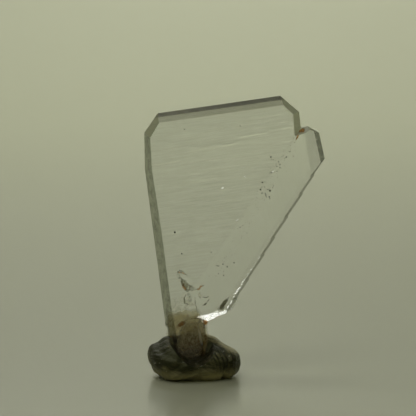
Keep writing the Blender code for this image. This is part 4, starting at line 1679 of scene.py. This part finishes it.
class OBJECT_OT_twin_quartz_tack(bpy.types.Operator):
    """Builds the lump of mineral tack and the crumbs on it"""

    bl_idname = "object.twin_quartz_tack"
    bl_label = "Lump of Tack"
    bl_options = {"REGISTER", "UNDO"}

    def execute(self, context):
        sizes = context.scene.twin_quartz
        lump = make_lump(sizes, tack_material(sizes))
        # Chips of broken quartz, half clear, that show as small pale specks.
        splinters = quartz_material(sizes.milky, "splinters", 0.15, 0.0, (0.2, 0.2, 0.003), 0.0, 0.35)
        make_crumbs(lump, splinters)
        return {"FINISHED"}


# ---------------------------------------------------------------- stage and camera

# The camera: its aim and reach in metres, its angles in degrees, its lens and sensor in mm.
CAMERA_AIM = Vector((-0.00369, 0.0, 0.02296))
CAMERA_REACH = 0.312
CAMERA_TURN = 8.5
CAMERA_RISE = 7.0
CAMERA_LENS = 200.0
CAMERA_SENSOR = 36.0
CAMERA_NEAR = 0.01
AIR_STRENGTH = 0.17
LIGHT_BOUNCES = 32  # enough to pass the plate and all the films in it
BOWL_SIDES = 128
FLOOR_RADIUS = 0.36
BOWL_RADIUS = 0.7
BOWL_TOP = 0.9
BOWL_CURVE_STEPS = 16
# Lights: place, aim, sides in metres, watts and spread in degrees.
LIGHTS = {
    "key_overhead": ((-0.18, 0.15, 0.72), (-0.02, 0.08, 0.0), (0.3, 0.3), 0.66, 150),
    "front_fill": ((-0.25, -0.25, 0.55), (0.0, 0.0, 0.0), (0.4, 0.4), 0.27, 120),
    "backdrop_light": ((0.07, 0.4, 0.6), (0.1, 0.61, 0.14), (0.25, 0.25), 1.34, 118),
    "front_wall_light": ((-0.05, -0.35, 0.6), (-0.06, -0.5, 0.0), (0.4, 0.2), 0.8, 90),
    "left_wall_light": ((-0.35, -0.15, 0.6), (-0.5, -0.2, 0.0), (0.3, 0.3), 0.4, 70),
    "right_wall_light": ((0.35, -0.15, 0.6), (0.5, -0.2, 0.0), (0.3, 0.3), 0.4, 70),
    "rim_panel": ((-0.004, 0.42, 0.307), (-0.003, 0.0, 0.008), (0.17, 0.17), 0.135, 180),
}


def make_bowl(colours):
    """A round floor that curves up into a wall all round."""
    curve = BOWL_RADIUS - FLOOR_RADIUS
    bpy.ops.mesh.primitive_circle_add(vertices=BOWL_SIDES, radius=FLOOR_RADIUS, fill_type="NGON")
    bowl = added("studio_bowl")
    bpy.ops.object.mode_set(mode="EDIT")
    bpy.ops.mesh.select_all(action="SELECT")
    bpy.ops.mesh.region_to_loop()
    radius, height = FLOOR_RADIUS, 0.0
    for step in range(1, BOWL_CURVE_STEPS + 2):
        turn = min(step / BOWL_CURVE_STEPS, 1.0) * math.pi / 2
        wide, high = FLOOR_RADIUS + curve * math.sin(turn), curve * (1 - math.cos(turn))
        high = BOWL_TOP if step > BOWL_CURVE_STEPS else high
        bpy.ops.mesh.extrude_edges_move(
            TRANSFORM_OT_translate={"value": (0.0, 0.0, high - height)}
        )
        scale = wide / radius
        bpy.ops.transform.resize(value=(scale, scale, 1.0), center_override=(0.0, 0.0, high))
        radius, height = wide, high
    bpy.ops.object.mode_set(mode="OBJECT")
    bpy.ops.object.shade_smooth()
    # Matt card with a faint satin coat, which leaves a soft, short reflection under the lump.
    material, _, shader = new_material("seamless card, matt")
    shader.inputs["Base Color"].default_value = linear(colours.backdrop_colour)
    shader.inputs["Roughness"].default_value = 0.5
    shader.inputs["Coat Weight"].default_value = 0.42
    shader.inputs["Coat Roughness"].default_value = 0.18
    bowl.data.materials.append(material)


def add_area_light(name, place, aim, sides, watts, spread_deg):
    """Adds a soft light with no colour of its own: an ellipse of these two sides, in metres."""
    bpy.ops.object.light_add(type="AREA", location=place)
    light = bpy.context.object
    light.name = name
    light.rotation_euler = (Vector(aim) - Vector(place)).to_track_quat("-Z", "Y").to_euler()
    light.data.shape = "ELLIPSE"
    light.data.size, light.data.size_y = sides
    light.data.energy = watts
    light.data.spread = math.radians(spread_deg)


def make_camera():
    """A long lens a little to the left of the front, looking slightly down."""
    turn, rise = math.radians(CAMERA_TURN), math.radians(CAMERA_RISE)
    away = Vector((-math.sin(turn) * math.cos(rise), -math.cos(turn) * math.cos(rise), math.sin(rise)))
    bpy.ops.object.camera_add(location=CAMERA_AIM + away * CAMERA_REACH)
    camera = bpy.context.object
    camera.rotation_euler = (-away).to_track_quat("-Z", "Y").to_euler()
    camera.data.lens = CAMERA_LENS
    camera.data.sensor_width = CAMERA_SENSOR
    camera.data.clip_start = CAMERA_NEAR
    camera.data.dof.use_dof = False
    bpy.context.scene.camera = camera


class OBJECT_OT_twin_quartz_stage(bpy.types.Operator):
    """Builds the floor, the backdrop, the lights and the camera"""

    bl_idname = "object.twin_quartz_stage"
    bl_label = "Stage"
    bl_options = {"REGISTER", "UNDO"}

    def execute(self, context):
        deselect()
        make_bowl(context.scene.twin_quartz)
        for name, (place, aim, sides, watts, spread_deg) in LIGHTS.items():
            add_area_light(name, place, aim, sides, watts, spread_deg)
        make_camera()
        world = bpy.data.worlds.new("studio_air")
        world.use_nodes = True
        background = world.node_tree.nodes["Background"]
        background.inputs["Color"].default_value = linear(context.scene.twin_quartz.air_colour)
        background.inputs["Strength"].default_value = AIR_STRENGTH
        context.scene.world = world
        context.scene.view_settings.view_transform = "Standard"
        context.scene.cycles.max_bounces = LIGHT_BOUNCES
        context.scene.cycles.transmission_bounces = LIGHT_BOUNCES
        return {"FINISHED"}


class VIEW3D_PT_twin_quartz(bpy.types.Panel):
    """Lists the pieces of the specimen"""

    bl_idname = "VIEW3D_PT_twin_quartz"
    bl_label = "Twin Quartz"
    bl_space_type = "VIEW_3D"
    bl_region_type = "UI"
    bl_category = "Twin Quartz"

    def draw(self, context):
        layout = self.layout
        settings = context.scene.twin_quartz
        for name in TwinQuartzSettings.__annotations__:
            layout.prop(settings, name)
        for operator in OPERATORS:
            layout.operator(operator.bl_idname)


OPERATORS = (
    OBJECT_OT_twin_quartz_crystal,
    OBJECT_OT_twin_quartz_inclusions,
    OBJECT_OT_twin_quartz_tack,
    OBJECT_OT_twin_quartz_stage,
)
CLASSES = (TwinQuartzSettings, *OPERATORS, VIEW3D_PT_twin_quartz)


def register():
    for cls in CLASSES:
        bpy.utils.register_class(cls)
    bpy.types.Scene.twin_quartz = bpy.props.PointerProperty(type=TwinQuartzSettings)


def unregister():
    del bpy.types.Scene.twin_quartz
    for cls in reversed(CLASSES):
        bpy.utils.unregister_class(cls)


def main():
    register()
    bpy.ops.object.twin_quartz_crystal()
    bpy.ops.object.twin_quartz_inclusions()
    bpy.ops.object.twin_quartz_tack()
    bpy.ops.object.twin_quartz_stage()


if __name__ == "__main__":
    main()
